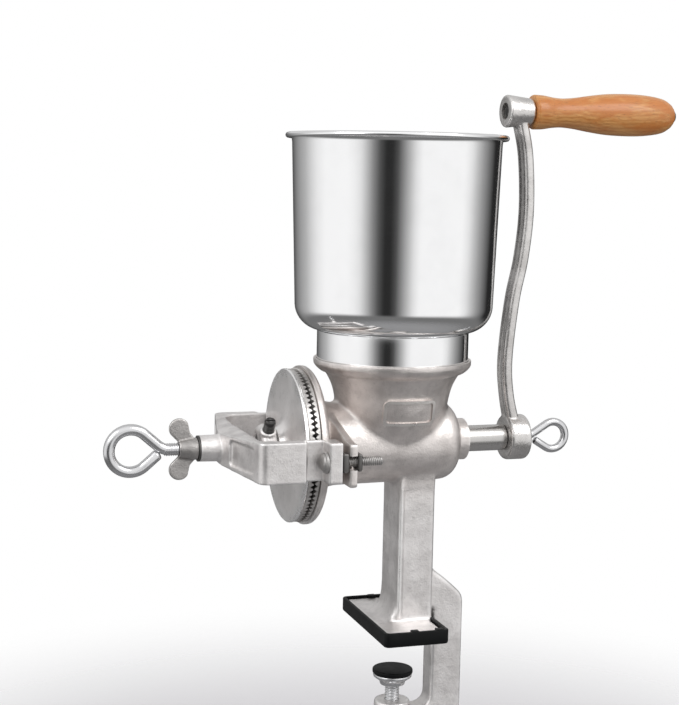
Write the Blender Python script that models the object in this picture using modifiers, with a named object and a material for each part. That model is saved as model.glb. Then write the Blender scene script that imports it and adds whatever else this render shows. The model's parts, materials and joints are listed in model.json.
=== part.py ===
"""Hand-cranked grain mill with a hopper, burr discs, an adjusting yoke and a table clamp.

Frame: metres, +Z up. The origin is on the hopper's axis, at the underside of the rubber boot that
rests on the table. +X runs along the auger shaft towards the crank. The table lies on the -X side.
Everything on the casting is placed from the shaft's axis, SHAFT_HEIGHT above the table.
"""
import math

import bmesh
import bpy
from mathutils import Vector

# ---- driving dimensions (metres) -------------------------------------------------------------
GAP = 0.0003                     # clearance between neighbouring pieces
SHAFT_HEIGHT = 0.130             # auger axis above the table

CUP_RIM_RADIUS = 0.0745
CUP_TOP_RADIUS = 0.0700
CUP_LOW_RADIUS = 0.0667
CUP_RIM_Z = 0.2074               # heights here and below are from the shaft's axis
CUP_CORNER = 0.0178
CUP_BASE_Z = 0.0764
CUP_WALL = 0.0011
CUP_OUTLET_RADIUS = 0.0445
NECK_RADIUS = 0.0512
NECK_WALL = 0.0013
SPIGOT_RADIUS = 0.0444
LIP_RADIUS = 0.0534
LIP_Z = 0.0571
LEDGE_Z = 0.0544

BARREL_RADIUS = 0.0268
BORE_RADIUS = 0.0210
FLANGE_RADIUS = 0.0531
FLANGE_FRONT_X = -0.0643
REAR_BOSS_RADIUS = 0.0141
REAR_BOSS_X = 0.0531
SHAFT_RADIUS = 0.0090
SQUARE_SIDE = 0.0124             # both squared ends of the shaft

FIXED_BURR_THICK = 0.0034
ROTATING_BURR_THICK = 0.0035
GRIND_GAP = 0.0006
BURR_RADIUS = 0.0510
CARRIER_RADIUS = 0.0513
CARRIER_RIM_THICK = 0.0021
COLLAR_RADIUS = 0.0150
COLLAR_X = (-0.0940, -0.0832)
BALL_RADIUS = 0.0039
BALL_X = -0.0945
SET_SCREW_RADIUS = 0.0038
SET_SCREW_LEAN = math.radians(37)   # from upright, towards -Y

YOKE_INNER_Y = 0.0545
YOKE_OUTER_Y = 0.0640
YOKE_FLANGE_Y = 0.0710
YOKE_HALF_HEIGHT = 0.0132
YOKE_BRIDGE_X = -0.1045          # inner face of the bridge
YOKE_ELBOW_X = -0.1092
YOKE_FLANGE_X = (-0.0654, -0.0566)
YOKE_BOSS_X = -0.1330
BOLT_Y = 0.0650
BOLT_RADIUS = 0.0030
LUG_X = (-0.0522, -0.0466)

SCREW_RADIUS = 0.0042            # adjusting screw's thread
SCREW_EYE_X = -0.1782
SCREW_EYE_RADIUS = 0.0144
SCREW_ROD_RADIUS = 0.0034
SCREW_NECK_X = -0.1570
WASHER_THICK = 0.0010

CRANK_RADIUS = 0.2249            # from the shaft's axis to the grip's axis
CRANK_HUB_X = (0.0838, 0.0995)
CRANK_HUB_RADIUS = 0.0157
CRANK_TOP_X = (0.0776, 0.0967)
CRANK_ARM_HALF_Y = 0.0068
CRANK_ARM_HALF_X = 0.0042
SPINDLE_RADIUS = 0.0030
GRIP_X = (0.0973, 0.2058)
CRANK_EYE_NECK_X = 0.1035
CRANK_EYE_X = 0.1216
CRANK_EYE_RADIUS = 0.0096
CRANK_EYE_ROD = 0.00275

LEG_X = (0.0018, 0.0276)
LEG_HALF_Y = 0.0172
FOOT_X = (-0.0142, 0.0257)
FOOT_HALF_Y = 0.0443
FOOT_Z = (-0.1267, -0.1219)
BOOT_X = (-0.0170, 0.0286)
BOOT_HALF_Y = 0.0472
BOOT_TOP_Z = -0.1203
ARM_X = (0.0310, 0.0540)
ARM_HALF_Y = 0.0085
CLAMP_X = 0.0058                 # clamp screw's axis, under the boot's middle
CLAMP_BOSS_Z = (-0.2060, -0.1820)
CLAMP_SCREW_RADIUS = 0.0050
CLAMP_ROD_RADIUS = 0.0038
CLAMP_NECK_Z = -0.2385
CLAMP_EYE_Z = -0.2585
CLAMP_EYE_RADIUS = 0.0130
PAD_RADIUS = 0.0140
PAD_TOP_Z = -0.1600              # clamped on a 30 mm board at rest
PAD_CAP_THICK = 0.0030

ROUND = 44                       # segments of the large turned pieces
MEDIUM = 26
SMALL = 14
EPS = 0.000005                   # merge distance

FIXED_BURR_X = FLANGE_FRONT_X - GAP - FIXED_BURR_THICK
ROTATING_BURR_X = FIXED_BURR_X - GRIND_GAP - ROTATING_BURR_THICK
CARRIER_BACK_X = ROTATING_BURR_X - GAP
CARRIER_FACE_X = CARRIER_BACK_X - CARRIER_RIM_THICK

AXIS_TURN = {"X": (0.0, math.pi / 2, 0.0), "Y": (-math.pi / 2, 0.0, 0.0), "Z": (0.0, 0.0, 0.0)}
PLANE_TURN = {"XY": (0.0, 0.0, 0.0), "XZ": (math.pi / 2, 0.0, 0.0), "YZ": (math.pi / 2, 0.0, math.pi / 2)}

MATERIALS = {
    "tinned_casting": ((0.60, 0.57, 0.55), 0.42, 0.85),
    "hopper_steel": ((0.78, 0.78, 0.79), 0.12, 1.0),
    "burr_iron": ((0.50, 0.48, 0.46), 0.50, 0.80),
    "plated_steel": ((0.75, 0.74, 0.73), 0.20, 1.0),
    "dark_steel": ((0.05, 0.05, 0.05), 0.45, 0.60),
    "varnished_wood": ((0.62, 0.33, 0.12), 0.35, 0.0),
    "black_rubber": ((0.015, 0.015, 0.016), 0.65, 0.0),
}


# ---- scene and helpers ------------------------------------------------------------------------
def clear_scene():
    """Remove every object, so that the script starts from nothing."""
    for item in list(bpy.data.objects):
        bpy.data.objects.remove(item, do_unlink=True)


def new_collection(name):
    """A fresh collection linked to the scene."""
    group = bpy.data.collections.new(name)
    bpy.context.scene.collection.children.link(group)
    return group


def make_material(name):
    """A Principled material from the table of finishes."""
    colour, roughness, metallic = MATERIALS[name]
    material = bpy.data.materials.new(name)
    material.use_nodes = True
    shader = material.node_tree.nodes["Principled BSDF"]
    shader.inputs["Base Color"].default_value = (*colour, 1.0)
    shader.inputs["Roughness"].default_value = roughness
    shader.inputs["Metallic"].default_value = metallic
    return material


def add_object(name, data, location=(0.0, 0.0, 0.0), turn=(0.0, 0.0, 0.0), parent=None):
    """Link an object into the part's collection; parent keeps its own frame."""
    item = bpy.data.objects.new(name, data)
    item.location = location
    item.rotation_euler = turn
    item.parent = parent
    PARTS.objects.link(item)
    return item


def mesh_from(name, build):
    """A mesh filled by build(bm), shaded smooth with sharp edges kept."""
    mesh = bpy.data.meshes.new(name)
    bm = bmesh.new()
    build(bm)
    bm.to_mesh(mesh)
    bm.free()
    mesh.shade_smooth()
    mesh.set_sharp_from_angle(angle=math.radians(35))
    return mesh


def lathe(name, profile, location=(0.0, 0.0, 0.0), axis="Z", steps=ROUND, parent=None):
    """Turn a profile of (radius, height) points about an axis with a Screw modifier.

    A profile that starts and ends on the axis closes there; any other is a closed ring. It runs
    down its outer side from top to bottom.
    """
    on_axis = profile[0][0] == 0.0 and profile[-1][0] == 0.0

    def build(bm):
        points = [bm.verts.new((radius, 0.0, height)) for radius, height in profile]
        for first, second in zip(points, points[1:]):
            bm.edges.new((first, second))
        if not on_axis:
            bm.edges.new((points[-1], points[0]))

    item = add_object(name, mesh_from(name, build), location, AXIS_TURN[axis], parent)
    screw = item.modifiers.new("turn", "SCREW")
    screw.steps = steps
    screw.render_steps = steps
    screw.use_merge_vertices = True
    screw.merge_threshold = EPS
    screw.use_smooth_shade = True
    return item


def cylinder(name, radius, low, high, centre=(0.0, 0.0), axis="Z", steps=MEDIUM, parent=None):
    """A plain cylinder between two heights along an axis; centre is its place across that axis."""
    def build(bm):
        bmesh.ops.create_cone(bm, cap_ends=True, segments=steps, radius1=radius, radius2=radius,
                              depth=high - low)

    middle = (low + high) / 2
    place = {"X": (middle, *centre), "Y": (centre[0], middle, centre[1]), "Z": (*centre, middle)}[axis]
    return add_object(name, mesh_from(name, build), place, AXIS_TURN[axis], parent)


def box(name, low, high, parent=None, bevel=0.0, taper=None):
    """A block from its low to its high corner. taper=(x, y) scales its top face about the centre."""
    size = [b - a for a, b in zip(low, high)]
    centre = [(a + b) / 2 for a, b in zip(low, high)]

    def build(bm):
        bmesh.ops.create_cube(bm, size=1.0)
        bmesh.ops.scale(bm, vec=size, verts=bm.verts)
        if taper:
            top = [v for v in bm.verts if v.co.z > 0]
            bmesh.ops.scale(bm, vec=(taper[0], taper[1], 1.0), verts=top)

    item = add_object(name, mesh_from(name, build), centre, parent=parent)
    if bevel:
        round_edges(item, bevel)
    return item


def round_edges(item, width, segments=1, angle=40):
    """Round an object's sharp edges with a Bevel modifier."""
    bevel = item.modifiers.new("round", "BEVEL")
    bevel.width = width
    bevel.segments = segments
    bevel.limit_method = "ANGLE"
    bevel.angle_limit = math.radians(angle)


def to_mesh(item):
    """Replace a curve object by a welded mesh object of the same name and place."""
    bpy.context.view_layer.update()
    graph = bpy.context.evaluated_depsgraph_get()
    mesh = bpy.data.meshes.new_from_object(item.evaluated_get(graph))
    bm = bmesh.new()
    bm.from_mesh(mesh)
    bmesh.ops.remove_doubles(bm, verts=bm.verts, dist=EPS)
    bmesh.ops.recalc_face_normals(bm, faces=bm.faces)
    bm.to_mesh(mesh)
    bm.free()
    mesh.shade_smooth()
    mesh.set_sharp_from_angle(angle=math.radians(35))
    name = item.name
    place = item.matrix_world.copy()
    bpy.data.objects.remove(item, do_unlink=True)
    solid = bpy.data.objects.new(name, mesh)
    solid.matrix_world = place
    PARTS.objects.link(solid)
    return solid


def plate(name, outline, thickness, centre=0.0, plane="XY", lift=SHAFT_HEIGHT, bevel=0.0):
    """A flat outline in a plane, thickened both ways about centre on the plane's normal."""
    curve = bpy.data.curves.new(name, "CURVE")
    curve.dimensions = "2D"
    curve.fill_mode = "BOTH"
    curve.extrude = thickness / 2
    spline = curve.splines.new("POLY")
    spline.points.add(len(outline) - 1)
    for point, (u, v) in zip(spline.points, outline):
        point.co = (u, v, 0.0, 1.0)
    spline.use_cyclic_u = True
    place = {"XY": (0.0, 0.0, centre), "XZ": (0.0, centre, 0.0), "YZ": (centre, 0.0, 0.0)}[plane]
    item = add_object(name, curve, Vector(place) + Vector((0.0, 0.0, lift)), PLANE_TURN[plane])
    solid = to_mesh(item)
    if bevel:
        round_edges(solid, bevel)
    return solid


def tube(name, points, radius, sides=3, lift=SHAFT_HEIGHT):
    """A capped round rod along points, as a mesh. sides is the curve's bevel resolution."""
    curve = bpy.data.curves.new(name, "CURVE")
    curve.dimensions = "3D"
    curve.bevel_depth = radius
    curve.bevel_resolution = sides
    curve.use_fill_caps = True
    spline = curve.splines.new("POLY")
    spline.points.add(len(points) - 1)
    for point, place in zip(spline.points, points):
        point.co = (*place, 1.0)
    return to_mesh(add_object(name, curve, (0.0, 0.0, lift)))


def combine(item, other, operation):
    """Join or cut item with another object, which becomes a hidden cutter."""
    PARTS.objects.unlink(other)
    CUTTERS.objects.link(other)
    other.hide_render = True
    other.display_type = "WIRE"
    change = item.modifiers.new(other.name, "BOOLEAN")
    change.operation = operation
    change.solver = "EXACT"
    change.object = other


def join(item, *others):
    """Boolean union."""
    for other in others:
        combine(item, other, "UNION")


def cut(item, *others):
    """Boolean difference."""
    for other in others:
        combine(item, other, "DIFFERENCE")


def finish(item, material):
    """Give a finished piece its material."""
    item.data.materials.clear()
    item.data.materials.append(material)
    return item


def arc(centre_u, centre_v, radius, start, stop, steps):
    """Points on an arc, angles in degrees from the first axis."""
    angles = [math.radians(start + (stop - start) * k / steps) for k in range(steps + 1)]
    return [(centre_u + radius * math.cos(a), centre_v + radius * math.sin(a)) for a in angles]


def smooth_path(points, steps):
    """A Catmull-Rom curve through points, with steps pieces to a span."""
    padded = [2 * points[0] - points[1], *points, 2 * points[-1] - points[-2]]
    result = []
    for a, b, c, d in zip(padded, padded[1:], padded[2:], padded[3:]):
        for k in range(steps):
            t = k / steps
            result.append(0.5 * (2 * b + (c - a) * t + (2 * a - 5 * b + 4 * c - d) * t * t
                                 + (3 * b - a - 3 * c + d) * t ** 3))
    result.append(points[-1])
    return result


def eye_route(start, neck, centre, radius, tail):
    """A rod's route from start, straight to neck, then round a teardrop eye at centre.

    All are distances along the shank's line; the result is (along, across) pairs. tail is the
    length of the returning straight run, which stops short of the shank.
    """
    way = 1.0 if centre > neck else -1.0
    reach = abs(centre - neck)
    lean = math.asin(radius / reach)
    straight = math.sqrt(reach ** 2 - radius ** 2)
    bend = 0.3 * straight
    heading = (math.cos(lean), math.sin(lean))
    route = [(0.0, 0.0), (abs(neck - start) - bend, 0.0)]
    corner = abs(neck - start)
    for k in range(1, 5):
        t = k / 4
        along = (1 - t) ** 2 * (corner - bend) + 2 * t * (1 - t) * corner + t * t * (corner + bend * heading[0])
        route.append((along, t * t * bend * heading[1]))
    turn = 90 + math.degrees(lean)
    route += arc(corner + reach, 0.0, radius, turn, -turn, 22)
    leave = route[-1]
    route.append((leave[0] - tail * heading[0], leave[1] + tail * heading[1]))
    return [(start + way * along, across) for along, across in route]


# ---- casting ----------------------------------------------------------------------------------
def build_throat(parent):
    """The funnel that carries the hopper, turned about the hopper's axis, with its cavity."""
    outer = [(0.0, LIP_Z), (LIP_RADIUS, LIP_Z), (LIP_RADIUS, 0.0545), (0.0515, 0.0512), (0.0480, 0.0480),
             (0.0450, 0.0460), (0.0427, 0.0436), (0.0408, 0.0405), (0.0394, 0.0360), (0.0384, 0.0300),
             (0.0370, 0.0210), (0.0335, 0.0120), (0.0270, 0.0020), (0.0, 0.0)]
    body = lathe("mill_body", outer, parent=parent)
    cavity = [(0.0, LIP_Z + 0.002), (NECK_RADIUS + GAP, LIP_Z + 0.002), (NECK_RADIUS + GAP, LEDGE_Z),
              (SPIGOT_RADIUS + GAP, LEDGE_Z), (SPIGOT_RADIUS + GAP, 0.0500), (0.0400, 0.0462),
              (0.0362, 0.0410), (0.0345, 0.0340), (0.0335, 0.0240), (0.0290, 0.0150), (0.0150, 0.0080),
              (0.0, 0.0080)]
    return body, lathe("throat_cavity", cavity, parent=parent)


def build_barrel(parent):
    """Burr flange, barrel, domed rear end and bearing boss, with the bore, about the shaft."""
    dome = arc(0.0330, 0.0150, 0.0118, 85, 18, 5)
    dome.reverse()
    outer = [(0.0, REAR_BOSS_X), (REAR_BOSS_RADIUS - 0.001, REAR_BOSS_X),
             (REAR_BOSS_RADIUS, REAR_BOSS_X - 0.001), (REAR_BOSS_RADIUS, 0.0455)]
    outer += [(radius, x) for x, radius in dome]
    outer += [(BARREL_RADIUS, 0.0200), (BARREL_RADIUS + 0.0008, -0.0430), (0.0300, -0.0520),
              (0.0350, -0.0562), (0.0420, -0.0578), (0.0505, -0.0590), (FLANGE_RADIUS, -0.0612),
              (FLANGE_RADIUS, FLANGE_FRONT_X + 0.0006), (FLANGE_RADIUS - 0.0006, FLANGE_FRONT_X),
              (0.0, FLANGE_FRONT_X)]
    bore = [(0.0, REAR_BOSS_X + 0.002), (SHAFT_RADIUS + GAP, REAR_BOSS_X + 0.002),
            (SHAFT_RADIUS + GAP, 0.0350), (BORE_RADIUS, 0.0330), (BORE_RADIUS, FLANGE_FRONT_X - 0.002),
            (0.0, FLANGE_FRONT_X - 0.002)]
    return (lathe("barrel", outer, axis="X", parent=parent),
            lathe("barrel_bore", bore, axis="X", steps=40, parent=parent))


def build_lug(side):
    """One ear for a yoke bolt, with its open slot. side is -1 near the crank's left, 1 beyond."""
    name = "near" if side < 0 else "far"
    outline = [(0.0180, 0.0240), (0.0600, 0.0128), (0.0700, 0.0122), (YOKE_FLANGE_Y, 0.0112),
               (YOKE_FLANGE_Y, -0.0150), (0.0700, -0.0160), (0.0560, -0.0160), (0.0180, -0.0235)]
    thickness = LUG_X[1] - LUG_X[0]
    middle = (LUG_X[0] + LUG_X[1]) / 2
    ear = plate("lug_" + name, [(side * u, v) for u, v in outline], thickness, middle, "YZ", bevel=0.0008)
    slot = box("lug_slot_" + name, (LUG_X[0] - 0.004, min(side * 0.058, side * 0.080), SHAFT_HEIGHT - 0.0046),
               (LUG_X[1] + 0.004, max(side * 0.058, side * 0.080), SHAFT_HEIGHT + 0.0046))
    return ear, slot


def build_leg(parent):
    """Leg, its flared foot, the foot plate and the channel that hollows the leg from behind."""
    leg = box("leg", (LEG_X[0], -LEG_HALF_Y, BOOT_TOP_Z + GAP), (LEG_X[1], LEG_HALF_Y, -0.0100), parent, 0.0016)
    flare = box("leg_flare", (LEG_X[0] - 0.0045, -LEG_HALF_Y - 0.0060, FOOT_Z[1] - 0.0010),
                (LEG_X[1] - 0.0030, LEG_HALF_Y + 0.0060, -0.1120), parent, taper=(0.80, 0.76))
    foot = box("foot_plate", (FOOT_X[0], -FOOT_HALF_Y, FOOT_Z[0]), (FOOT_X[1], FOOT_HALF_Y, FOOT_Z[1]),
               parent, 0.0010)
    channel = box("leg_channel", (LEG_X[0] + 0.0050, -LEG_HALF_Y + 0.0060, -0.1080),
                  (LEG_X[1] - 0.0050, LEG_HALF_Y + 0.0100, -0.0420), parent, 0.0020)
    return leg, flare, foot, channel


def build_clamp_arm(parent):
    """The clamp's C-shaped arm beside the table edge, with the boss that the screw runs in."""
    inner, outer = ARM_X
    low = CLAMP_BOSS_Z[0]
    outline = [(LEG_X[0] + 0.010, -0.0850), (LEG_X[1], -0.0850)]
    outline += [(0.0340, -0.0905), (0.0440, -0.0995)]
    outline += arc(outer - 0.0110, -0.1130, 0.0110, 35, 0, 4)
    outline += arc(outer - 0.0160, low + 0.0190, 0.0160, 0, -90, 5)
    outline += [(CLAMP_X - 0.0080, low + 0.0040), (CLAMP_X - 0.0080, low + 0.0165),
                (inner - 0.0090, low + 0.0185)]
    outline += arc(inner - 0.0080, low + 0.0265, 0.0080, -80, 0, 3)
    outline += [(inner, -0.1175), (LEG_X[0] + 0.010, -0.1175)]
    arm = plate("clamp_arm", outline, 2 * ARM_HALF_Y, plane="XZ", bevel=0.0014)
    boss = cylinder("clamp_boss", 0.0125, low, CLAMP_BOSS_Z[1], (CLAMP_X, 0.0), steps=MEDIUM, parent=parent)
    hole = cylinder("clamp_thread", CLAMP_SCREW_RADIUS + GAP, low - 0.002, CLAMP_BOSS_Z[1] + 0.002,
                    (CLAMP_X, 0.0), steps=SMALL, parent=parent)
    return arm, boss, hole


def build_cartouche(parent):
    """The plain raised panel on the front of the throat."""
    return box("cartouche", (-0.0180, -0.0392, 0.0165), (0.0180, -0.0200, 0.0330), parent, 0.0012)


def build_casting(parent):
    """The one-piece casting of throat, barrel, lugs, leg, foot and clamp arm."""
    body, cavity = build_throat(parent)
    barrel, bore = build_barrel(parent)
    leg, flare, foot, channel = build_leg(parent)
    arm, boss, hole = build_clamp_arm(parent)
    lugs = [build_lug(side) for side in (-1, 1)]
    join(body, barrel, leg, flare, foot, arm, boss, build_cartouche(parent), *[ear for ear, _ in lugs])
    cut(body, cavity, bore, channel, hole, *[slot for _, slot in lugs])
    return body


def build_boot(parent):
    """The rubber boot that the foot plate is pressed into, with its small retaining tabs."""
    boot = box("foot_boot", (BOOT_X[0], -BOOT_HALF_Y, -SHAFT_HEIGHT), (BOOT_X[1], BOOT_HALF_Y, BOOT_TOP_Z),
               parent)
    pocket = box("boot_pocket", (FOOT_X[0] - GAP, -FOOT_HALF_Y - GAP, FOOT_Z[0] - GAP),
                 (FOOT_X[1] + GAP, FOOT_HALF_Y + GAP, BOOT_TOP_Z + 0.002), parent)
    cut(boot, pocket)
    for side in (-1, 1):
        for x in (0.0020, 0.0195):
            edge = sorted((side * (FOOT_HALF_Y - 0.0022), side * (BOOT_HALF_Y - 0.0004)))
            tab = box("boot_tab", (x, edge[0], FOOT_Z[1] + GAP), (x + 0.0052, edge[1], BOOT_TOP_Z + 0.0006),
                      parent)
            join(boot, tab)
    return boot


# ---- hopper -----------------------------------------------------------------------------------
def build_cup(parent):
    """The spun hopper cup: a rolled rim, a slightly tapered wall and a round lower corner."""
    corner_z = CUP_BASE_Z + CUP_CORNER
    corner_r = CUP_LOW_RADIUS - CUP_CORNER
    bead = 0.0020
    outer = arc(CUP_RIM_RADIUS - bead, CUP_RIM_Z - bead, bead, 90, -90, 4)
    outer += [(CUP_TOP_RADIUS + 0.0003, CUP_RIM_Z - 2 * bead), (CUP_TOP_RADIUS, CUP_RIM_Z - 0.008)]
    outer += arc(corner_r, corner_z, CUP_CORNER, 0, -90, 6)
    outer += [(CUP_OUTLET_RADIUS, CUP_BASE_Z), (CUP_OUTLET_RADIUS, CUP_BASE_Z + CUP_WALL)]
    inner = arc(corner_r, corner_z, CUP_CORNER - CUP_WALL, -90, 0, 6)
    inner += [(CUP_TOP_RADIUS - CUP_WALL, CUP_RIM_Z - 0.008), (CUP_TOP_RADIUS - 0.0004, CUP_RIM_Z - 0.0012)]
    return lathe("hopper_cup", outer + inner, parent=parent)


def build_neck(parent):
    """The polished band under the cup, with the spigot that locates it in the casting."""
    top = CUP_BASE_Z - GAP
    seat = LEDGE_Z + GAP
    profile = [(NECK_RADIUS, top), (NECK_RADIUS, seat), (SPIGOT_RADIUS, seat), (SPIGOT_RADIUS, 0.0505),
               (SPIGOT_RADIUS - NECK_WALL, 0.0505), (SPIGOT_RADIUS - NECK_WALL, seat + NECK_WALL),
               (NECK_RADIUS - NECK_WALL, seat + NECK_WALL), (NECK_RADIUS - NECK_WALL, top)]
    return lathe("hopper_neck", profile, parent=parent)


# ---- burrs and auger --------------------------------------------------------------------------
def build_fixed_burr(parent):
    """The burr plate on the casting's flange, dished towards its open middle."""
    back = FIXED_BURR_X + FIXED_BURR_THICK
    profile = [(BURR_RADIUS + 0.0004, back), (BURR_RADIUS + 0.0004, FIXED_BURR_X), (0.0340, FIXED_BURR_X),
               (0.0225, FIXED_BURR_X + 0.0016), (0.0225, back)]
    return lathe("fixed_burr", profile, axis="X", parent=parent)


def build_rotating_burr(parent):
    """The burr plate on the carrier, facing the fixed one."""
    back = ROTATING_BURR_X
    face = ROTATING_BURR_X + ROTATING_BURR_THICK
    profile = [(0.0125, face - 0.0014), (0.0340, face), (BURR_RADIUS, face), (BURR_RADIUS, back),
               (0.0125, back)]
    return lathe("rotating_burr", profile, axis="X", parent=parent)


def build_carrier(parent):
    """The turning disc that holds the burr, with its flared boss and squared hole."""
    face = CARRIER_FACE_X
    profile = [(0.0, CARRIER_BACK_X), (CARRIER_RADIUS, CARRIER_BACK_X), (CARRIER_RADIUS, face + 0.0005),
               (CARRIER_RADIUS - 0.0005, face), (0.0240, face - 0.0004), (0.0170, face - 0.0014),
               (0.0132, face - 0.0032), (0.0120, face - 0.0055), (0.0118, -0.0815), (0.0, -0.0815)]
    disc = lathe("burr_carrier", profile, axis="X", parent=parent)
    cut(disc, front_square("carrier_square", GAP, -0.0900, -0.0650, parent))
    return disc


def build_collar(parent):
    """The collar on the squared shaft end, with its radial tapped hole."""
    low, high = COLLAR_X
    profile = [(0.0, high), (COLLAR_RADIUS - 0.002, high), (COLLAR_RADIUS, high - 0.0025),
               (COLLAR_RADIUS, low + 0.0030), (COLLAR_RADIUS - 0.0030, low), (0.0, low)]
    collar = lathe("drive_collar", profile, axis="X", steps=MEDIUM, parent=parent)
    cut(collar, front_square("collar_square", GAP, low - 0.002, high + 0.002, parent),
        radial_rod("collar_tapping", SET_SCREW_RADIUS + GAP, 0.0, 0.0200, parent))
    return collar


def front_square(name, clearance, low, high, parent):
    """The front end's square bar, turned so that a flat faces the set screw."""
    side = SQUARE_SIDE / 2 + clearance
    bar = box(name, (low, -side, -side), (high, side, side), parent)
    bar.rotation_euler = (SET_SCREW_LEAN, 0.0, 0.0)
    return bar


def radial_rod(name, radius, start, stop, parent):
    """A cylinder on the set screw's line, between two distances from the shaft's axis."""
    rod = cylinder(name, radius, -(stop - start) / 2, (stop - start) / 2, steps=SMALL, parent=parent)
    middle = (start + stop) / 2
    across = (COLLAR_X[0] + COLLAR_X[1]) / 2
    rod.rotation_euler = (SET_SCREW_LEAN, 0.0, 0.0)
    rod.location = (across, -middle * math.sin(SET_SCREW_LEAN), middle * math.cos(SET_SCREW_LEAN))
    return rod


def build_set_screw(parent):
    """The dark set screw that holds the collar on the shaft's flat."""
    screw = radial_rod("collar_set_screw", SET_SCREW_RADIUS, SQUARE_SIDE / 2 + GAP, 0.0245, parent)
    return screw


def build_auger(parent):
    """Shaft and worm in one: squared ends, bearing journal and a helical flight."""
    end = CRANK_HUB_X[0] - GAP
    journal = [(0.0, end), (SHAFT_RADIUS - 0.0006, end), (SHAFT_RADIUS, end - 0.0008),
               (SHAFT_RADIUS, -0.0620), (0.0, -0.0620)]
    shaft = lathe("auger", journal, axis="X", steps=MEDIUM, parent=parent)
    side = SQUARE_SIDE / 2
    front = front_square("auger_front_square", 0.0, -0.0920, -0.0610, parent)
    rear = box("auger_rear_square", (0.0800, -side, -side), (0.0968, side, side), parent)
    seat = lathe("ball_seat", [(0.0, -0.0885), (0.0046, -0.0930), (0.0, -0.0930)], axis="X", steps=SMALL,
                 parent=parent)
    thread = cylinder("eye_thread", CRANK_EYE_ROD + GAP, 0.0745, 0.0990, axis="X", steps=SMALL, parent=parent)
    join(shaft, front, rear, build_flight(parent))
    cut(shaft, seat, thread)
    return shaft


def build_flight(parent):
    """The worm's helical flight: a rectangular section swept along the shaft."""
    start, stop, pitch, thickness = -0.0545, 0.0290, 0.0230, 0.0034
    turns = (stop - start - thickness) / pitch
    steps = round(turns * 22)

    def build(bm):
        corners = [(0.0070, 0.0), (0.0198, 0.0006), (0.0198, thickness - 0.0006), (0.0070, thickness)]
        ring = [bm.verts.new((radius, 0.0, start + height)) for radius, height in corners]
        edges = [bm.edges.new((ring[k], ring[(k + 1) % 4])) for k in range(4)]
        bmesh.ops.spin(bm, geom=ring + edges, cent=(0.0, 0.0, 0.0), axis=(0.0, 0.0, 1.0),
                       dvec=(0.0, 0.0, turns * pitch / steps), angle=turns * 2 * math.pi, steps=steps)
        bmesh.ops.holes_fill(bm, edges=[e for e in bm.edges if e.is_boundary])
        bmesh.ops.recalc_face_normals(bm, faces=bm.faces)

    return add_object("auger_flight", mesh_from("auger_flight", build), turn=AXIS_TURN["X"], parent=parent)


def build_ball(parent):
    """The thrust ball between the adjusting screw and the shaft."""
    def build(bm):
        bmesh.ops.create_uvsphere(bm, u_segments=16, v_segments=10, radius=BALL_RADIUS)

    return add_object("thrust_ball", mesh_from("thrust_ball", build), (BALL_X, 0.0, 0.0),
                      AXIS_TURN["X"], parent)


# ---- yoke and adjuster ------------------------------------------------------------------------
def yoke_outline():
    """The yoke seen from above: a thick V bridge, two arms and their bolt flanges."""
    half = [(-0.1200, 0.0), (-0.1192, 0.0090), (YOKE_ELBOW_X + 0.0010, YOKE_OUTER_Y - 0.0030),
            (YOKE_ELBOW_X + 0.0040, YOKE_OUTER_Y), (-0.0785, YOKE_OUTER_Y), (-0.0770, 0.0575),
            (YOKE_FLANGE_X[0], 0.0575), (YOKE_FLANGE_X[0], YOKE_FLANGE_Y), (YOKE_FLANGE_X[1], YOKE_FLANGE_Y),
            (YOKE_FLANGE_X[1], YOKE_INNER_Y)]
    half += arc(YOKE_BRIDGE_X + 0.0095, YOKE_INNER_Y - 0.0095, 0.0095, 90, 180, 4)
    half += [(YOKE_BRIDGE_X, 0.0)]
    mirrored = [(x, -y) for x, y in half[-2:0:-1]]
    return half + mirrored


def build_yoke(parent):
    """The cast stirrup that carries the adjusting screw in front of the burrs."""
    yoke = plate("yoke", yoke_outline(), 2 * YOKE_HALF_HEIGHT)
    for vertex in yoke.data.vertices:
        if vertex.co.x < YOKE_ELBOW_X + 0.006:
            share = min(1.0, abs(vertex.co.y) / YOKE_OUTER_Y)
            vertex.co.z *= 0.78 + 0.22 * share
    round_edges(yoke, 0.0009)
    boss = lathe("yoke_boss", [(0.0, -0.1060), (0.0104, -0.1060), (0.0104, -0.1184), (0.0088, -0.1198),
                               (0.0086, YOKE_BOSS_X + 0.0006), (0.0080, YOKE_BOSS_X), (0.0, YOKE_BOSS_X)],
                 axis="X", steps=MEDIUM, parent=parent)
    thread = cylinder("yoke_thread", SCREW_RADIUS + GAP, YOKE_BOSS_X - 0.002, -0.1000, axis="X", steps=SMALL,
                      parent=parent)
    join(yoke, boss)
    for side in (-1, 1):
        lean = math.atan2(0.0100, 0.0520) * side
        panel = box("yoke_panel", (-0.0015, -0.0170, -0.0085), (0.0015, 0.0170, 0.0085), parent)
        panel.location = (-0.1144, side * 0.0360, 0.0)
        panel.rotation_euler = (0.0, 0.0, -lean)
        hole = cylinder("yoke_bolt_hole", BOLT_RADIUS + GAP, YOKE_FLANGE_X[0] - 0.003, YOKE_FLANGE_X[1] + 0.003,
                        (side * BOLT_Y, 0.0), axis="X", steps=SMALL, parent=parent)
        cut(yoke, panel, hole)
    cut(yoke, thread)
    return yoke


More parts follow.
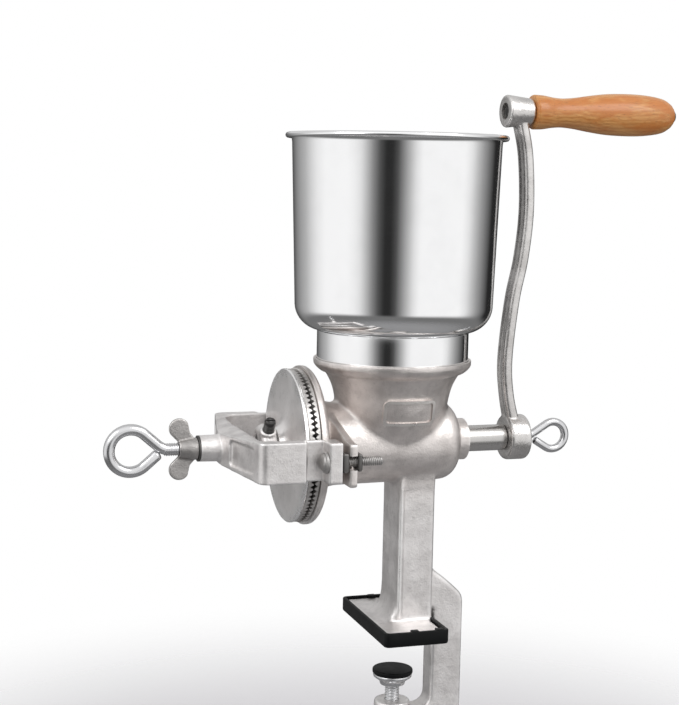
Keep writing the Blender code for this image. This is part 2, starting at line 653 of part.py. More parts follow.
def build_bolt(side, parent):
    """A round-headed bolt through the yoke's flange and the casting's slot."""
    name = "near" if side < 0 else "far"
    head = YOKE_FLANGE_X[0] - GAP
    profile = [(0.0, -0.0285), (BOLT_RADIUS - 0.0006, -0.0285), (BOLT_RADIUS, -0.0292), (BOLT_RADIUS, head),
               (0.0070, head), (0.0068, head - 0.0018), (0.0050, head - 0.0034), (0.0, head - 0.0040)]
    return lathe("yoke_bolt_" + name, profile, (0.0, side * BOLT_Y, 0.0), "X", SMALL, parent)


def build_nut(name, side, start, stop, across, parent):
    """A square nut on a yoke bolt, between two places along it."""
    half = across / 2
    middle = side * BOLT_Y
    nut = box(name, (start, middle - half, -half), (stop, middle + half, half), parent, 0.0006)
    cut(nut, cylinder(name + "_hole", BOLT_RADIUS + GAP, start - 0.002, stop + 0.002, (middle, 0.0), "X",
                      SMALL, parent))
    return nut


def build_adjusting_screw(parent):
    """The bent-rod eye screw that pushes on the thrust ball."""
    tip = BALL_X - BALL_RADIUS - GAP
    route = eye_route(tip - 0.002, SCREW_NECK_X, SCREW_EYE_X, SCREW_EYE_RADIUS, 0.0092)
    screw = tube("adjusting_screw", [(along, 0.0, across) for along, across in route], SCREW_ROD_RADIUS)
    join(screw, lathe("adjusting_thread", [(0.0, tip), (SCREW_RADIUS - 0.0008, tip),
                                           (SCREW_RADIUS, tip - 0.0010), (SCREW_RADIUS, SCREW_NECK_X + 0.0010),
                                           (SCREW_ROD_RADIUS - 0.0004, SCREW_NECK_X + 0.0002),
                                           (0.0, SCREW_NECK_X + 0.0002)],
                      axis="X", steps=SMALL, parent=parent))
    return screw


def build_wing_nut(parent):
    """The wing nut that locks the adjusting screw, with two swept-back wings."""
    face = YOKE_BOSS_X - 2 * GAP - WASHER_THICK
    nut = lathe("wing_nut", [(0.0, face), (0.0072, face), (0.0070, face - 0.0040), (0.0058, face - 0.0120),
                             (0.0, face - 0.0120)], axis="X", steps=24, parent=parent)
    lobe = arc(-0.1462, 0.0136, 0.0068, 35, 215, 8)
    wing = [(face - 0.0004, 0.0030), (face - 0.0010, 0.0066), (face - 0.0046, 0.0108), *lobe,
            (face - 0.0115, 0.0040)]
    for side in (1, -1):
        join(nut, plate("wing", [(x, side * z) for x, z in wing], 0.0028, plane="XZ", bevel=0.0007))
    cut(nut, cylinder("wing_thread", SCREW_RADIUS + GAP, face - 0.014, face + 0.002, axis="X", steps=SMALL,
                      parent=parent))
    return nut


def ring(name, radius, hole, low, high, centre=(0.0, 0.0, 0.0), axis="X", steps=24, parent=None):
    """A flat washer between two places along an axis."""
    profile = [(radius, high), (radius, low), (hole, low), (hole, high)]
    return lathe(name, profile, centre, axis, steps, parent)


# ---- crank ------------------------------------------------------------------------------------
def crank_spine():
    """The crank arm's middle line: an S from the hub, out past the cup, back to the grip boss."""
    points = [(0.0905, 0.0060), (0.0850, 0.0310), (0.0833, 0.0560), (0.0872, 0.0960), (0.0928, 0.1250),
              (0.0957, 0.1580), (0.0938, 0.1950), (0.0885, 0.2200)]
    return smooth_path([Vector(point) for point in points], 4)


def build_crank(parent):
    """The cast crank arm with its squared hub and its boss for the grip's spindle."""
    spine = crank_spine()
    left, right = [], []
    for before, here, after in zip([spine[0], *spine], spine, [*spine[1:], spine[-1]]):
        along = (after - before).normalized()
        normal = Vector((along.y, -along.x))
        right.append(tuple(here + normal * CRANK_ARM_HALF_X))
        left.append(tuple(here - normal * CRANK_ARM_HALF_X))
    crank = plate("crank_arm", right + left[::-1], 2 * CRANK_ARM_HALF_Y, plane="XZ")
    round_edges(crank, 0.0020, segments=2)
    hub = lathe("crank_hub", [(0.0, CRANK_HUB_X[1]), (CRANK_HUB_RADIUS - 0.0014, CRANK_HUB_X[1]),
                              (CRANK_HUB_RADIUS, CRANK_HUB_X[1] - 0.0014),
                              (CRANK_HUB_RADIUS, CRANK_HUB_X[0] + 0.0014),
                              (CRANK_HUB_RADIUS - 0.0014, CRANK_HUB_X[0]), (0.0, CRANK_HUB_X[0])],
                axis="X", steps=MEDIUM, parent=parent)
    low, high = CRANK_TOP_X
    top = lathe("crank_top", [(0.0, high), (0.0086, high), (0.0090, high - 0.0006), (0.0112, low + 0.0010),
                              (0.0104, low), (0.0, low)],
                (0.0, 0.0, CRANK_RADIUS), "X", MEDIUM, parent)
    side = SQUARE_SIDE / 2 + GAP
    square = box("crank_square", (0.0800, -side, -side), (0.1020, side, side), parent)
    bore = lathe("spindle_hole", [(0.0, high + 0.002), (SPINDLE_RADIUS + GAP, high + 0.002),
                                  (SPINDLE_RADIUS + GAP, low + 0.0036), (0.0052, low + 0.0036),
                                  (0.0052, low - 0.002), (0.0, low - 0.002)],
                 (0.0, 0.0, CRANK_RADIUS), "X", SMALL, parent)
    join(crank, hub, top)
    cut(crank, square, bore)
    return crank


def build_spindle(parent):
    """The riveted rod that the grip turns on: a head in the crank boss, a cap at the grip's tip."""
    head = CRANK_TOP_X[0] + 0.0036 - GAP
    tip = GRIP_X[1] + GAP
    profile = [(0.0, tip + 0.0016), (0.0026, tip + 0.0013), (0.0044, tip), (SPINDLE_RADIUS, tip),
               (SPINDLE_RADIUS, head), (0.0047, head), (0.0045, head - 0.0020), (0.0, head - 0.0026)]
    return lathe("grip_spindle", profile, (0.0, 0.0, CRANK_RADIUS), "X", SMALL, parent)


def build_grip(parent):
    """The turned wooden grip with a waist near the crank and a full belly."""
    start, stop = GRIP_X
    stations = [(0.0, 0.0112), (0.0015, 0.0118), (0.0080, 0.0115), (0.0150, 0.0104), (0.0225, 0.0099),
                (0.0320, 0.0107), (0.0430, 0.0124), (0.0560, 0.0141), (0.0690, 0.0147), (0.0810, 0.0143),
                (0.0920, 0.0127), (0.1000, 0.0101), (0.1055, 0.0069), (stop - start, 0.0046)]
    hole = SPINDLE_RADIUS + GAP
    profile = [(radius, start + along) for along, radius in reversed(stations)]
    profile += [(hole, start), (hole, stop)]
    return lathe("crank_grip", profile, (0.0, 0.0, CRANK_RADIUS), "X", MEDIUM, parent)


def build_crank_eye():
    """The bent-rod eye screw that holds the crank on the shaft."""
    route = eye_route(0.0770, CRANK_EYE_NECK_X, CRANK_EYE_X, CRANK_EYE_RADIUS, 0.0092)
    return tube("crank_eye_screw", [(along, 0.0, across) for along, across in route], CRANK_EYE_ROD)


# ---- clamp ------------------------------------------------------------------------------------
def build_clamp_screw(parent):
    """The clamp's bent-rod screw, hanging in the lower jaw."""
    top = PAD_TOP_Z - PAD_CAP_THICK - GAP - 0.0033
    route = eye_route(top - 0.002, CLAMP_NECK_Z, CLAMP_EYE_Z, CLAMP_EYE_RADIUS, 0.0076)
    screw = tube("clamp_screw", [(CLAMP_X + across, 0.0, along) for along, across in route],
                 CLAMP_ROD_RADIUS)
    join(screw, lathe("clamp_thread_rod", [(0.0, top), (CLAMP_SCREW_RADIUS - 0.001, top),
                                           (CLAMP_SCREW_RADIUS, top - 0.001),
                                           (CLAMP_SCREW_RADIUS, CLAMP_NECK_Z + 0.0012),
                                           (CLAMP_ROD_RADIUS - 0.0004, CLAMP_NECK_Z + 0.0002),
                                           (0.0, CLAMP_NECK_Z + 0.0002)],
                      (CLAMP_X, 0.0, 0.0), steps=SMALL, parent=parent))
    return screw


def build_pad(parent):
    """The swivel cup on the clamp screw's end."""
    high = PAD_TOP_Z - PAD_CAP_THICK - GAP
    socket = CLAMP_SCREW_RADIUS + GAP
    profile = [(0.0, high), (PAD_RADIUS - 0.0006, high), (PAD_RADIUS - 0.0006, high - 0.0020),
               (0.0092, high - 0.0050), (0.0085, high - 0.0078), (socket, high - 0.0078),
               (socket, high - 0.0030), (0.0, high - 0.0030)]
    return lathe("clamp_pad", profile, (CLAMP_X, 0.0, 0.0), steps=MEDIUM, parent=parent)


def build_pad_cap(parent):
    """The rubber face of the clamp pad."""
    low = PAD_TOP_Z - PAD_CAP_THICK
    profile = [(0.0, PAD_TOP_Z), (PAD_RADIUS - 0.0008, PAD_TOP_Z), (PAD_RADIUS, PAD_TOP_Z - 0.0008),
               (PAD_RADIUS, low), (0.0, low)]
    return lathe("pad_cap", profile, (CLAMP_X, 0.0, 0.0), steps=MEDIUM, parent=parent)


# ---- assembly ---------------------------------------------------------------------------------
def build_mill():
    """Every piece of the mill, each with its own material."""
    looks = {name: make_material(name) for name in MATERIALS}
    shaft_axis = bpy.data.objects.new("shaft_axis", None)
    shaft_axis.location = (0.0, 0.0, SHAFT_HEIGHT)
    PARTS.objects.link(shaft_axis)

    for piece in (build_casting(shaft_axis), build_yoke(shaft_axis), build_carrier(shaft_axis),
                  build_collar(shaft_axis), build_crank(shaft_axis), build_wing_nut(shaft_axis)):
        finish(piece, looks["tinned_casting"])
    for piece in (build_boot(shaft_axis), build_pad_cap(shaft_axis)):
        finish(piece, looks["black_rubber"])
    for piece in (build_cup(shaft_axis), build_neck(shaft_axis)):
        finish(piece, looks["hopper_steel"])
    for piece in (build_fixed_burr(shaft_axis), build_rotating_burr(shaft_axis), build_auger(shaft_axis)):
        finish(piece, looks["burr_iron"])
    for piece in (build_adjusting_screw(shaft_axis), build_crank_eye(), build_clamp_screw(shaft_axis),
                  build_pad(shaft_axis), build_ball(shaft_axis)):
        finish(piece, looks["plated_steel"])
    finish(build_grip(shaft_axis), looks["varnished_wood"])

    crank_face = CRANK_HUB_X[1] + GAP
    dark = [build_set_screw(shaft_axis), build_spindle(shaft_axis),
            ring("lock_washer", 0.0086, SCREW_RADIUS + GAP, YOKE_BOSS_X - GAP - WASHER_THICK,
                 YOKE_BOSS_X - GAP, parent=shaft_axis),
            ring("crank_washer", 0.0072, CRANK_EYE_ROD + GAP, crank_face, crank_face + WASHER_THICK,
                 parent=shaft_axis)]
    for side, name in ((-1, "near"), (1, "far")):
        dark.append(build_bolt(side, shaft_axis))
        dark.append(build_nut("yoke_spacer_nut_" + name, side, YOKE_FLANGE_X[1] + GAP, LUG_X[0] - GAP,
                              0.0120, shaft_axis))
        dark.append(build_nut("yoke_lock_nut_" + name, side, LUG_X[1] + GAP, LUG_X[1] + GAP + 0.0028,
                              0.0110, shaft_axis))
    for piece in dark:
        finish(piece, looks["dark_steel"])


clear_scene()
PARTS = new_collection("grain_mill")
CUTTERS = new_collection("cutters")
build_mill()
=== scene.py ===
"""Looks of a hand-cranked grain mill with a polished hopper, burr discs and a table clamp.

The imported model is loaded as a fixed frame. Every piece is built here in finer detail, rides on
the body of the node that it stands for, and gets a procedural finish. Lengths are in metres.
Sub-assemblies are built in the shaft's frame: the hopper's axis and the auger's axis cross at
the origin, +X runs to the crank and +Z up. Bench.deliver lifts a finished mesh to the row frame.
"""
from __future__ import annotations

import json
import logging
import math
import sys
from dataclasses import dataclass, field
from enum import Enum
from typing import Any, Iterable, Sequence, Union

import bmesh
import bpy
from mathutils import Matrix, Vector

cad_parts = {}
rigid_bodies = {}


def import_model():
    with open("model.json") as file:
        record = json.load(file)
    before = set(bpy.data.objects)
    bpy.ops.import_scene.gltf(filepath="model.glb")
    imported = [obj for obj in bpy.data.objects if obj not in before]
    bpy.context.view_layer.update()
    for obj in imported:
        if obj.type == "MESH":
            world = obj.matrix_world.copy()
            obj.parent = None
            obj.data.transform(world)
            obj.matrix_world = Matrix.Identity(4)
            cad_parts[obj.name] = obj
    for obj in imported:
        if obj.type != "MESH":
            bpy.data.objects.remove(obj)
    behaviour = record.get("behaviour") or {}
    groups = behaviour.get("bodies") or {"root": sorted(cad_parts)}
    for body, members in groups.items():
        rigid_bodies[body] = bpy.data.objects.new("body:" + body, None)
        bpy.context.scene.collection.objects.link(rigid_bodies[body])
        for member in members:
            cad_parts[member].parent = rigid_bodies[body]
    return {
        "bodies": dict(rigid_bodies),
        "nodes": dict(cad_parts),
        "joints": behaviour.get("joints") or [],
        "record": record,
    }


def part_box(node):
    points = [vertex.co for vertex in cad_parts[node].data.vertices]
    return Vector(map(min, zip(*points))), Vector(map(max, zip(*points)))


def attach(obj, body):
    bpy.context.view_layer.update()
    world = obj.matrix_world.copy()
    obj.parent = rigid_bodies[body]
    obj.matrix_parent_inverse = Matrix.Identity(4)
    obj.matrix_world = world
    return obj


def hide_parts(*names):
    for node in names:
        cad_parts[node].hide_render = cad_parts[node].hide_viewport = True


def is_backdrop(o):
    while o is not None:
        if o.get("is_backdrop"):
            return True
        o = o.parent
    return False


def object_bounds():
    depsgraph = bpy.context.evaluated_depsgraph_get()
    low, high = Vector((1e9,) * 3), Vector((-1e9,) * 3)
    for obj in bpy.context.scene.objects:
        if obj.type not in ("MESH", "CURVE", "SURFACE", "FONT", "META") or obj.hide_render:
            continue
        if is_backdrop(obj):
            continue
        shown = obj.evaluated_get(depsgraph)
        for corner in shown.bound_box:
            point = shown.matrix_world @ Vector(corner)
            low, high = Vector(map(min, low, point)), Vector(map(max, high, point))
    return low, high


LOG = logging.getLogger("grain_mill")

Colour = tuple[float, float, float]
Point = tuple[float, float]
Ring = list[Vector]
Mesh = bpy.types.Mesh
Number = Union[float, "Value"]

GAP = 0.0003                      # clearance between neighbouring pieces
TINY = 0.000001
MERGE = 0.00001                   # doubles closer than this become one
FINE = 144                        # segments of the large turned pieces
ROUND = 72
SMALL = 40
EDGE_STEPS = 3                    # pieces to a rounded edge
SCREW_LEAN = math.radians(37)     # the collar's set screw and the squared end, from upright
FLOOR_SIDES = 96
ROD_SIDES = 32                    # steps round a bent rod
ROD_DOME = 0.6                    # height of a rod's domed end over its radius


class Axis(Enum):
    """The line that a turned piece is turned about."""

    X = "X"
    Z = "Z"


class Plane(Enum):
    """The plane of a flat outline: which of (u, v, across) each axis takes."""

    XY = (0, 1, 2)
    XZ = (0, 2, 1)
    YZ = (2, 0, 1)


class Slot(Enum):
    """Material slots of the record."""

    CASTING = "tinned_casting"
    HOPPER = "hopper_steel"
    BURR = "burr_iron"
    PLATED = "plated_steel"
    DARK = "dark_steel"
    WOOD = "varnished_wood"
    RUBBER = "black_rubber"


# ---- node trees
class Value:
    """An output socket with arithmetic: an expression on values adds its Math nodes."""

    def __init__(self, graph: "Graph", socket: bpy.types.NodeSocket) -> None:
        """Wrap a socket."""
        self.graph = graph
        self.socket = socket

    def _math(self, operation: str, *terms: Number) -> "Value":
        """Add one Math node."""
        return self.graph.node("ShaderNodeMath", {"operation": operation}, dict(enumerate(terms)))

    def __add__(self, other: Number) -> "Value":
        """Sum."""
        return self._math("ADD", self, other)

    def __radd__(self, other: Number) -> "Value":
        """Sum with a number on the left."""
        return self._math("ADD", other, self)

    def __sub__(self, other: Number) -> "Value":
        """Difference."""
        return self._math("SUBTRACT", self, other)

    def __rsub__(self, other: Number) -> "Value":
        """Difference from a number on the left."""
        return self._math("SUBTRACT", other, self)

    def __mul__(self, other: Number) -> "Value":
        """Product."""
        return self._math("MULTIPLY", self, other)

    def __truediv__(self, other: Number) -> "Value":
        """Quotient."""
        return self._math("DIVIDE", self, other)

    def __abs__(self) -> "Value":
        """Size without its sign."""
        return self._math("ABSOLUTE", self)

    def __gt__(self, other: Number) -> "Value":
        """One where the value is above the other, else zero."""
        return self._math("GREATER_THAN", self, other)

    def least(self, other: Number) -> "Value":
        """The smaller of two values."""
        return self._math("MINIMUM", self, other)

    def most(self, other: Number) -> "Value":
        """The larger of two values."""
        return self._math("MAXIMUM", self, other)

    def fraction(self) -> "Value":
        """What is left above the whole number."""
        return self._math("FRACT", self)

    def angle_from(self, other: Number) -> "Value":
        """Angle of the point (other, self), in radians."""
        return self._math("ARCTAN2", self, other)

    def root(self) -> "Value":
        """Square root."""
        return self._math("SQRT", self)

    def cosine(self) -> "Value":
        """Cosine."""
        return self._math("COSINE", self)

    def sine(self) -> "Value":
        """Sine."""
        return self._math("SINE", self)

    def step_between(self, low: float, high: float) -> "Value":
        """A smooth rise from 0 to 1.

        Args:
            low: the value where the rise starts.
            high: the value where it ends.

        Returns:
            The risen value, held to 0 and 1 outside the two.
        """
        return self.graph.node(
            "ShaderNodeMapRange", {"interpolation_type": "SMOOTHSTEP"},
            {"Value": self, "From Min": low, "From Max": high, "To Min": 0.0, "To Max": 1.0})


class Graph:
    """A node tree that is filled by one method."""

    def __init__(self, tree: bpy.types.NodeTree) -> None:
        """Wrap a tree."""
        self.tree = tree

    def node(self, kind: str, settings: dict[str, Any] | None = None,
             inputs: dict[int | str, Any] | None = None, output: int | str = 0) -> Value:
        """Add one node.

        Args:
            kind: the node's type.
            settings: its own settings, set first; "stops" fills a colour ramp.
            inputs: a value or a link for each socket, by name or place.
            output: the output that is wanted.

        Returns:
            The wanted output.
        """
        made = self.tree.nodes.new(kind)
        for name, setting in (settings or {}).items():
            if name == "stops":
                fill_ramp(made.color_ramp, setting)
            else:
                setattr(made, name, setting)
        for name, value in (inputs or {}).items():
            if isinstance(value, Value):
                self.tree.links.new(value.socket, made.inputs[name])
            else:
                made.inputs[name].default_value = value
        return Value(self, made.outputs[output])

    def parts(self, vector: Value) -> list[Value]:
        """The three components of a vector."""
        split = self.node("ShaderNodeSeparateXYZ", None, {0: vector})
        return [split, *(Value(self, split.socket.node.outputs[k]) for k in (1, 2))]

    def tint(self, share: Number, first: Colour | Value, second: Colour | Value) -> Value:
        """A mix of two colours.

        Args:
            share: how much of the second.
            first: the colour at 0.
            second: the colour at 1.

        Returns:
            The mixed colour.
        """
        first, second = [c if isinstance(c, Value) else (*c, 1.0) for c in (first, second)]
        return self.node("ShaderNodeMix", {"data_type": "RGBA", "clamp_factor": True},
                         {0: share, 6: first, 7: second}, output=2)


def fill_ramp(ramp: bpy.types.ColorRamp, stops: Sequence[tuple[float, float | Colour]]) -> None:
    """Give a colour ramp its stops.

    Args:
        ramp: the ramp.
        stops: place and grey level or colour of each stop, in order.
    """
    while len(ramp.elements) < len(stops):
        ramp.elements.new(1.0)
    for element, (place, tone) in zip(ramp.elements, stops):
        element.position = place
        colour = (tone, tone, tone) if isinstance(tone, float) else tone
        element.color = (*colour, 1.0)


class ShaderGraph(Graph):
    """The tree of one material, around a Principled shader."""

    def __init__(self, name: str) -> None:
        """Start an empty material.

        Args:
            name: the material's name.
        """
        self.material = bpy.data.materials.new(name)
        self.material.use_nodes = True
        super().__init__(self.material.node_tree)
        self.tree.nodes.clear()
        self.place = self.node("ShaderNodeTexCoord", output="Object")

    def stretched(self, scale: Colour, origin: Colour = (0.0, 0.0, 0.0)) -> Value:
        """Object coordinates, moved and scaled.

        Args:
            scale: the scale along each axis.
            origin: the place that becomes zero.

        Returns:
            The mapped coordinates.
        """
        shift = tuple(-s * o for s, o in zip(scale, origin))
        return self.node("ShaderNodeMapping", {"vector_type": "POINT"},
                         {"Vector": self.place, "Location": shift, "Scale": scale})

    def noise(self, scale: float, detail: float = 3.0, roughness: float = 0.5,
              place: Value | None = None) -> Value:
        """Fractal noise around one half.

        Args:
            scale: features to a metre.
            detail: octaves.
            roughness: weight of the finer octaves.
            place: coordinates, or None for Object coordinates.

        Returns:
            The noise.
        """
        return self.node("ShaderNodeTexNoise", {"noise_dimensions": "3D"},
                         {"Vector": place or self.place, "Scale": scale, "Detail": detail,
                          "Roughness": roughness})

    def bump(self, height: Value, depth: float, strength: float = 1.0, under: Value | None = None) -> Value:
        """A bumped normal.

        Args:
            height: the height field.
            depth: the field's depth in metres.
            strength: how much of it is used.
            under: a normal to add to, or None.

        Returns:
            The normal.
        """
        inputs: dict[int | str, Any] = {"Height": height, "Distance": depth, "Strength": strength}
        if under is not None:
            inputs["Normal"] = under
        return self.node("ShaderNodeBump", None, inputs)

    def surface(self, fixed: dict[str, Any], linked: dict[str, Value]) -> bpy.types.Material:
        """Finish the material with its shader.

        Args:
            fixed: constants set on the shader's own sockets.
            linked: what varies over the surface.

        Returns:
            The material.
        """
        shader = self.node("ShaderNodeBsdfPrincipled", None, {**fixed, **linked})
        self.node_output(shader)
        return self.material

    def node_output(self, shader: Value) -> None:
        """Link a shader to the material's output."""
        end = self.tree.nodes.new("ShaderNodeOutputMaterial")
        self.tree.links.new(shader.socket, end.inputs["Surface"])


class Recipe(Graph):
    """A geometry tree with named sizes that makes one plain mesh."""

    def __init__(self, name: str) -> None:
        """Start a tree that takes and gives geometry.

        Args:
            name: the tree's name.
        """
        super().__init__(bpy.data.node_groups.new(name, "GeometryNodeTree"))
        self.identifiers: dict[str, str] = {}
        self.tree.interface.new_socket("Geometry", in_out="INPUT", socket_type="NodeSocketGeometry")
        self.tree.interface.new_socket("Geometry", in_out="OUTPUT", socket_type="NodeSocketGeometry")
        self.entry = self.tree.nodes.new("NodeGroupInput")

    def size(self, name: str, kind: str = "NodeSocketFloat") -> Value:
        """Add a named size.

        Args:
            name: the input's name.
            kind: its socket type.

        Returns:
            The input as a value.
        """
        socket = self.tree.interface.new_socket(name, in_out="INPUT", socket_type=kind)
        self.identifiers[name] = socket.identifier
        return Value(self, self.entry.outputs[name])

    def blank(self) -> Value:
        """The geometry that goes in."""
        return Value(self, self.entry.outputs["Geometry"])

    def finish(self, geometry: Value) -> None:
        """End the tree.

        Args:
            geometry: what the tree has made.
        """
        material = self.size("Material", "NodeSocketMaterial")
        real = self.node("GeometryNodeRealizeInstances", None, {"Geometry": geometry})
        dressed = self.node("GeometryNodeSetMaterial", None, {"Geometry": real, "Material": material})
        end = self.tree.nodes.new("NodeGroupOutput")
        self.tree.links.new(dressed.socket, end.inputs["Geometry"])

    def make(self, name: str, sizes: dict[str, Any], blank: Mesh | None = None) -> Mesh:
        """Run the tree once.

        Args:
            name: the new mesh's name.
            sizes: a value for each named size.
            blank: the mesh that goes in, or None for an empty one.

        Returns:
            The result as a plain mesh.
        """
        carrier = new_object(name, blank or bpy.data.meshes.new(name))
        modifier = carrier.modifiers.new(name, "NODES")
        modifier.node_group = self.tree
        for size, value in sizes.items():
            modifier[self.identifiers[size]] = value
        return applied(carrier)


# ---- mesh tools
def new_object(name: str, data: bpy.types.ID) -> bpy.types.Object:
    """Link a mesh, a lamp or a camera to the scene as a new object.

    Args:
        name: the object's name.
        data: what it shows.

    Returns:
        The object.
    """
    made = bpy.data.objects.new(name, data)
    bpy.context.scene.collection.objects.link(made)
    return made


def applied(carrier: bpy.types.Object) -> Mesh:
    """Turn an object's modifiers into a plain mesh and remove the object.

    Args:
        carrier: the object with its modifiers.

    Returns:
        The evaluated mesh.
    """
    graph = bpy.context.evaluated_depsgraph_get()
    graph.update()
    mesh = bpy.data.meshes.new_from_object(carrier.evaluated_get(graph))
    bpy.data.objects.remove(carrier, do_unlink=True)
    return mesh


def poured(work: bmesh.types.BMesh, mesh: Mesh) -> Mesh:
    """Write an edited mesh into a mesh's data block.

    Args:
        work: the edited mesh.
        mesh: the data block that takes it.

    Returns:
        The mesh.
    """
    work.to_mesh(mesh)
    work.free()
    return mesh


def loft(name: str, rings: Sequence[Sequence[Vector]], closed: bool = False) -> Mesh:
    """Skin a row of rings with the same number of points; a ring of one point is a pole.

    Args:
        name: the mesh's name.
        rings: the rings in order.
        closed: whether the last ring joins the first.

    Returns:
        A closed mesh with its faces outwards.
    """
    work = bmesh.new()
    rows = [[work.verts.new(point) for point in ring] for ring in rings]
    pairs = list(zip(rows, rows[1:]))
    if closed:
        pairs.append((rows[-1], rows[0]))
    for low, high in pairs:
        count = max(len(low), len(high))
        for k in range(count):
            after = (k + 1) % count
            corners = [low[k % len(low)], low[after % len(low)], high[after % len(high)], high[k % len(high)]]
            unique = list(dict.fromkeys(corners))
            if len(unique) > 2:
                work.faces.new(unique)
    if not closed:
        for row in (rows[0], rows[-1]):
            if len(row) > 2:
                work.faces.new(row)
    bmesh.ops.remove_doubles(work, verts=work.verts, dist=TINY)
    bmesh.ops.recalc_face_normals(work, faces=work.faces)
    return poured(work, bpy.data.meshes.new(name))


def arc(centre: Point, radius: float, start: float, stop: float, steps: int) -> list[Point]:
    """Points on an arc, angles in degrees from the first axis."""
    turns = [math.radians(start + (stop - start) * k / steps) for k in range(steps + 1)]
    return [(centre[0] + radius * math.cos(a), centre[1] + radius * math.sin(a)) for a in turns]


def softened(points: Sequence[Point], radius: float, steps: int = 3, cyclic: bool = False) -> list[Point]:
    """Round the corners of a line of points.

    Args:
        points: the line's corners.
        radius: the rounding's reach along each side, at most.
        steps: pieces to a corner.
        cyclic: whether the line closes on itself.

    Returns:
        The rounded line.
    """
    result: list[Point] = []
    count = len(points)
    for k, here in enumerate(points):
        if not cyclic and k in (0, count - 1):
            result.append(here)
            continue
        before, after = Vector(points[k - 1]), Vector(points[(k + 1) % count])
        corner = Vector(here)
        into, out = corner - before, after - corner
        if min(into.length, out.length) < TINY or into.angle(out) < math.radians(12):
            result.append(here)
            continue
        reach = min(radius, 0.45 * into.length, 0.45 * out.length)
        first, last = corner - into.normalized() * reach, corner + out.normalized() * reach
        for j in range(steps + 1):
            t = j / steps
            point = (1 - t) ** 2 * first + 2 * t * (1 - t) * corner + t * t * last
            result.append((point.x, point.y))
    return result


def turned(name: str, profile: Sequence[Point], segments: int = ROUND, axis: Axis = Axis.Z,
           centre: Colour = (0.0, 0.0, 0.0), closed: bool = False) -> Mesh:
    """Turn a profile about an axis.

    Args:
        name: the mesh's name.
        profile: (radius, distance along the axis) pairs, in order.
        segments: steps round the axis.
        axis: the axis.
        centre: a place on the axis.
        closed: whether the profile is a loop that misses the axis.

    Returns:
        The turned mesh.
    """
    rings: list[Ring] = []
    base = Vector(centre)
    for radius, along in profile:
        ring: Ring = []
        for k in range(segments if radius > TINY else 1):
            angle = 2 * math.pi * k / segments
            across = (radius * math.cos(angle), radius * math.sin(angle))
            local = (*across, along) if axis is Axis.Z else (along, *across)
            ring.append(base + Vector(local))
        rings.append(ring)
    return loft(name, rings, closed)


def cylinder(name: str, radius: float, start: float, stop: float, segments: int = SMALL,
             axis: Axis = Axis.X, centre: Colour = (0.0, 0.0, 0.0), soft: float = 0.0) -> Mesh:
    """A solid round bar."""
    profile = [(0.0, start), (radius, start), (radius, stop), (0.0, stop)]
    return turned(name, softened(profile, soft) if soft else profile, segments, axis, centre)


def rounded_rectangle(half: Point, radius: float, steps: int = 6) -> list[Point]:
    """A rectangle's outline with round corners, about its centre.

    Args:
        half: half its width and height.
        radius: radius of its corners.
        steps: pieces to a corner.

    Returns:
        The points in order.
    """
    u, v = half[0] - radius, half[1] - radius
    points: list[Point] = []
    for sign_u, sign_v, start in ((1, 1, 0), (-1, 1, 90), (-1, -1, 180), (1, -1, 270)):
        points += arc((sign_u * u, sign_v * v), radius, start, start + 90, steps)
    return points


def block(name: str, low: Colour, high: Colour, radius: float) -> Mesh:
    """A box with round edges.

    Args:
        name: the mesh's name.
        low: its lowest corner.
        high: its highest corner.
        radius: the edges' radius.

    Returns:
        The mesh.
    """
    work = bmesh.new()
    bmesh.ops.create_cube(work, size=1.0)
    size = Vector(high) - Vector(low)
    middle = (Vector(high) + Vector(low)) / 2
    for vertex in work.verts:
        vertex.co = Vector(a * b for a, b in zip(vertex.co, size)) + middle
    if radius > 0.0:
        bmesh.ops.bevel(work, geom=list(work.edges), offset=radius, segments=EDGE_STEPS, profile=0.5,
                        affect="EDGES", clamp_overlap=True)
    return poured(work, bpy.data.meshes.new(name))


def slab(name: str, outline: Sequence[Point], low: float, high: float, plane: Plane,
         edge: float = 0.0) -> Mesh:
    """A flat outline given a thickness, with its rims cut back by a small round.

    Args:
        name: the mesh's name.
        outline: the closed outline's points.
        low: the first face's place across the plane.
        high: the second face's place.
        plane: the outline's plane.
        edge: radius of the rims.

    Returns:
        The mesh.
    """
    mesh = loft(name, [[Vector([(u, v, across)[k] for k in plane.value]) for u, v in outline]
                       for across in (low, high)])
    if edge > 0.0:
        work = bmesh.new()
        work.from_mesh(mesh)
        rims = [e for e in work.edges if any(len(f.verts) > 4 for f in e.link_faces)]
        bmesh.ops.bevel(work, geom=rims, offset=edge, segments=EDGE_STEPS, profile=0.5, affect="EDGES",
                        clamp_overlap=True)
        poured(work, mesh)
    return mesh


def together(name: str, meshes: Iterable[Mesh]) -> Mesh:
    """Several meshes as one, each still a closed shell of its own.

    Args:
        name: the result's name.
        meshes: the closed shells.

    Returns:
        The mesh.
    """
    work = bmesh.new()
    for mesh in meshes:
        work.from_mesh(mesh)
    return poured(work, bpy.data.meshes.new(name))


def moved(mesh: Mesh, matrix: Matrix) -> Mesh:
    """The mesh, moved by a matrix."""
    mesh.transform(matrix)
    return mesh


def fused(name: str, meshes: Iterable[Mesh], grain: float, rounds: int) -> Mesh:
    """Melt overlapping shells into one skin with soft inner corners, as a casting has.

    Args:
        name: the mesh's name.
        meshes: the closed shells.
        grain: size of the skin's faces.
        rounds: smoothing passes; more give wider fillets.

    Returns:
        The single skin.
    """
    carrier = new_object(name, together(name, meshes))
    skin = carrier.modifiers.new("skin", "REMESH")
    skin.mode = "VOXEL"
    skin.voxel_size = grain
    if rounds:
        soften = carrier.modifiers.new("soften", "SMOOTH")
        soften.factor = 0.5
        soften.iterations = rounds
    return applied(carrier)


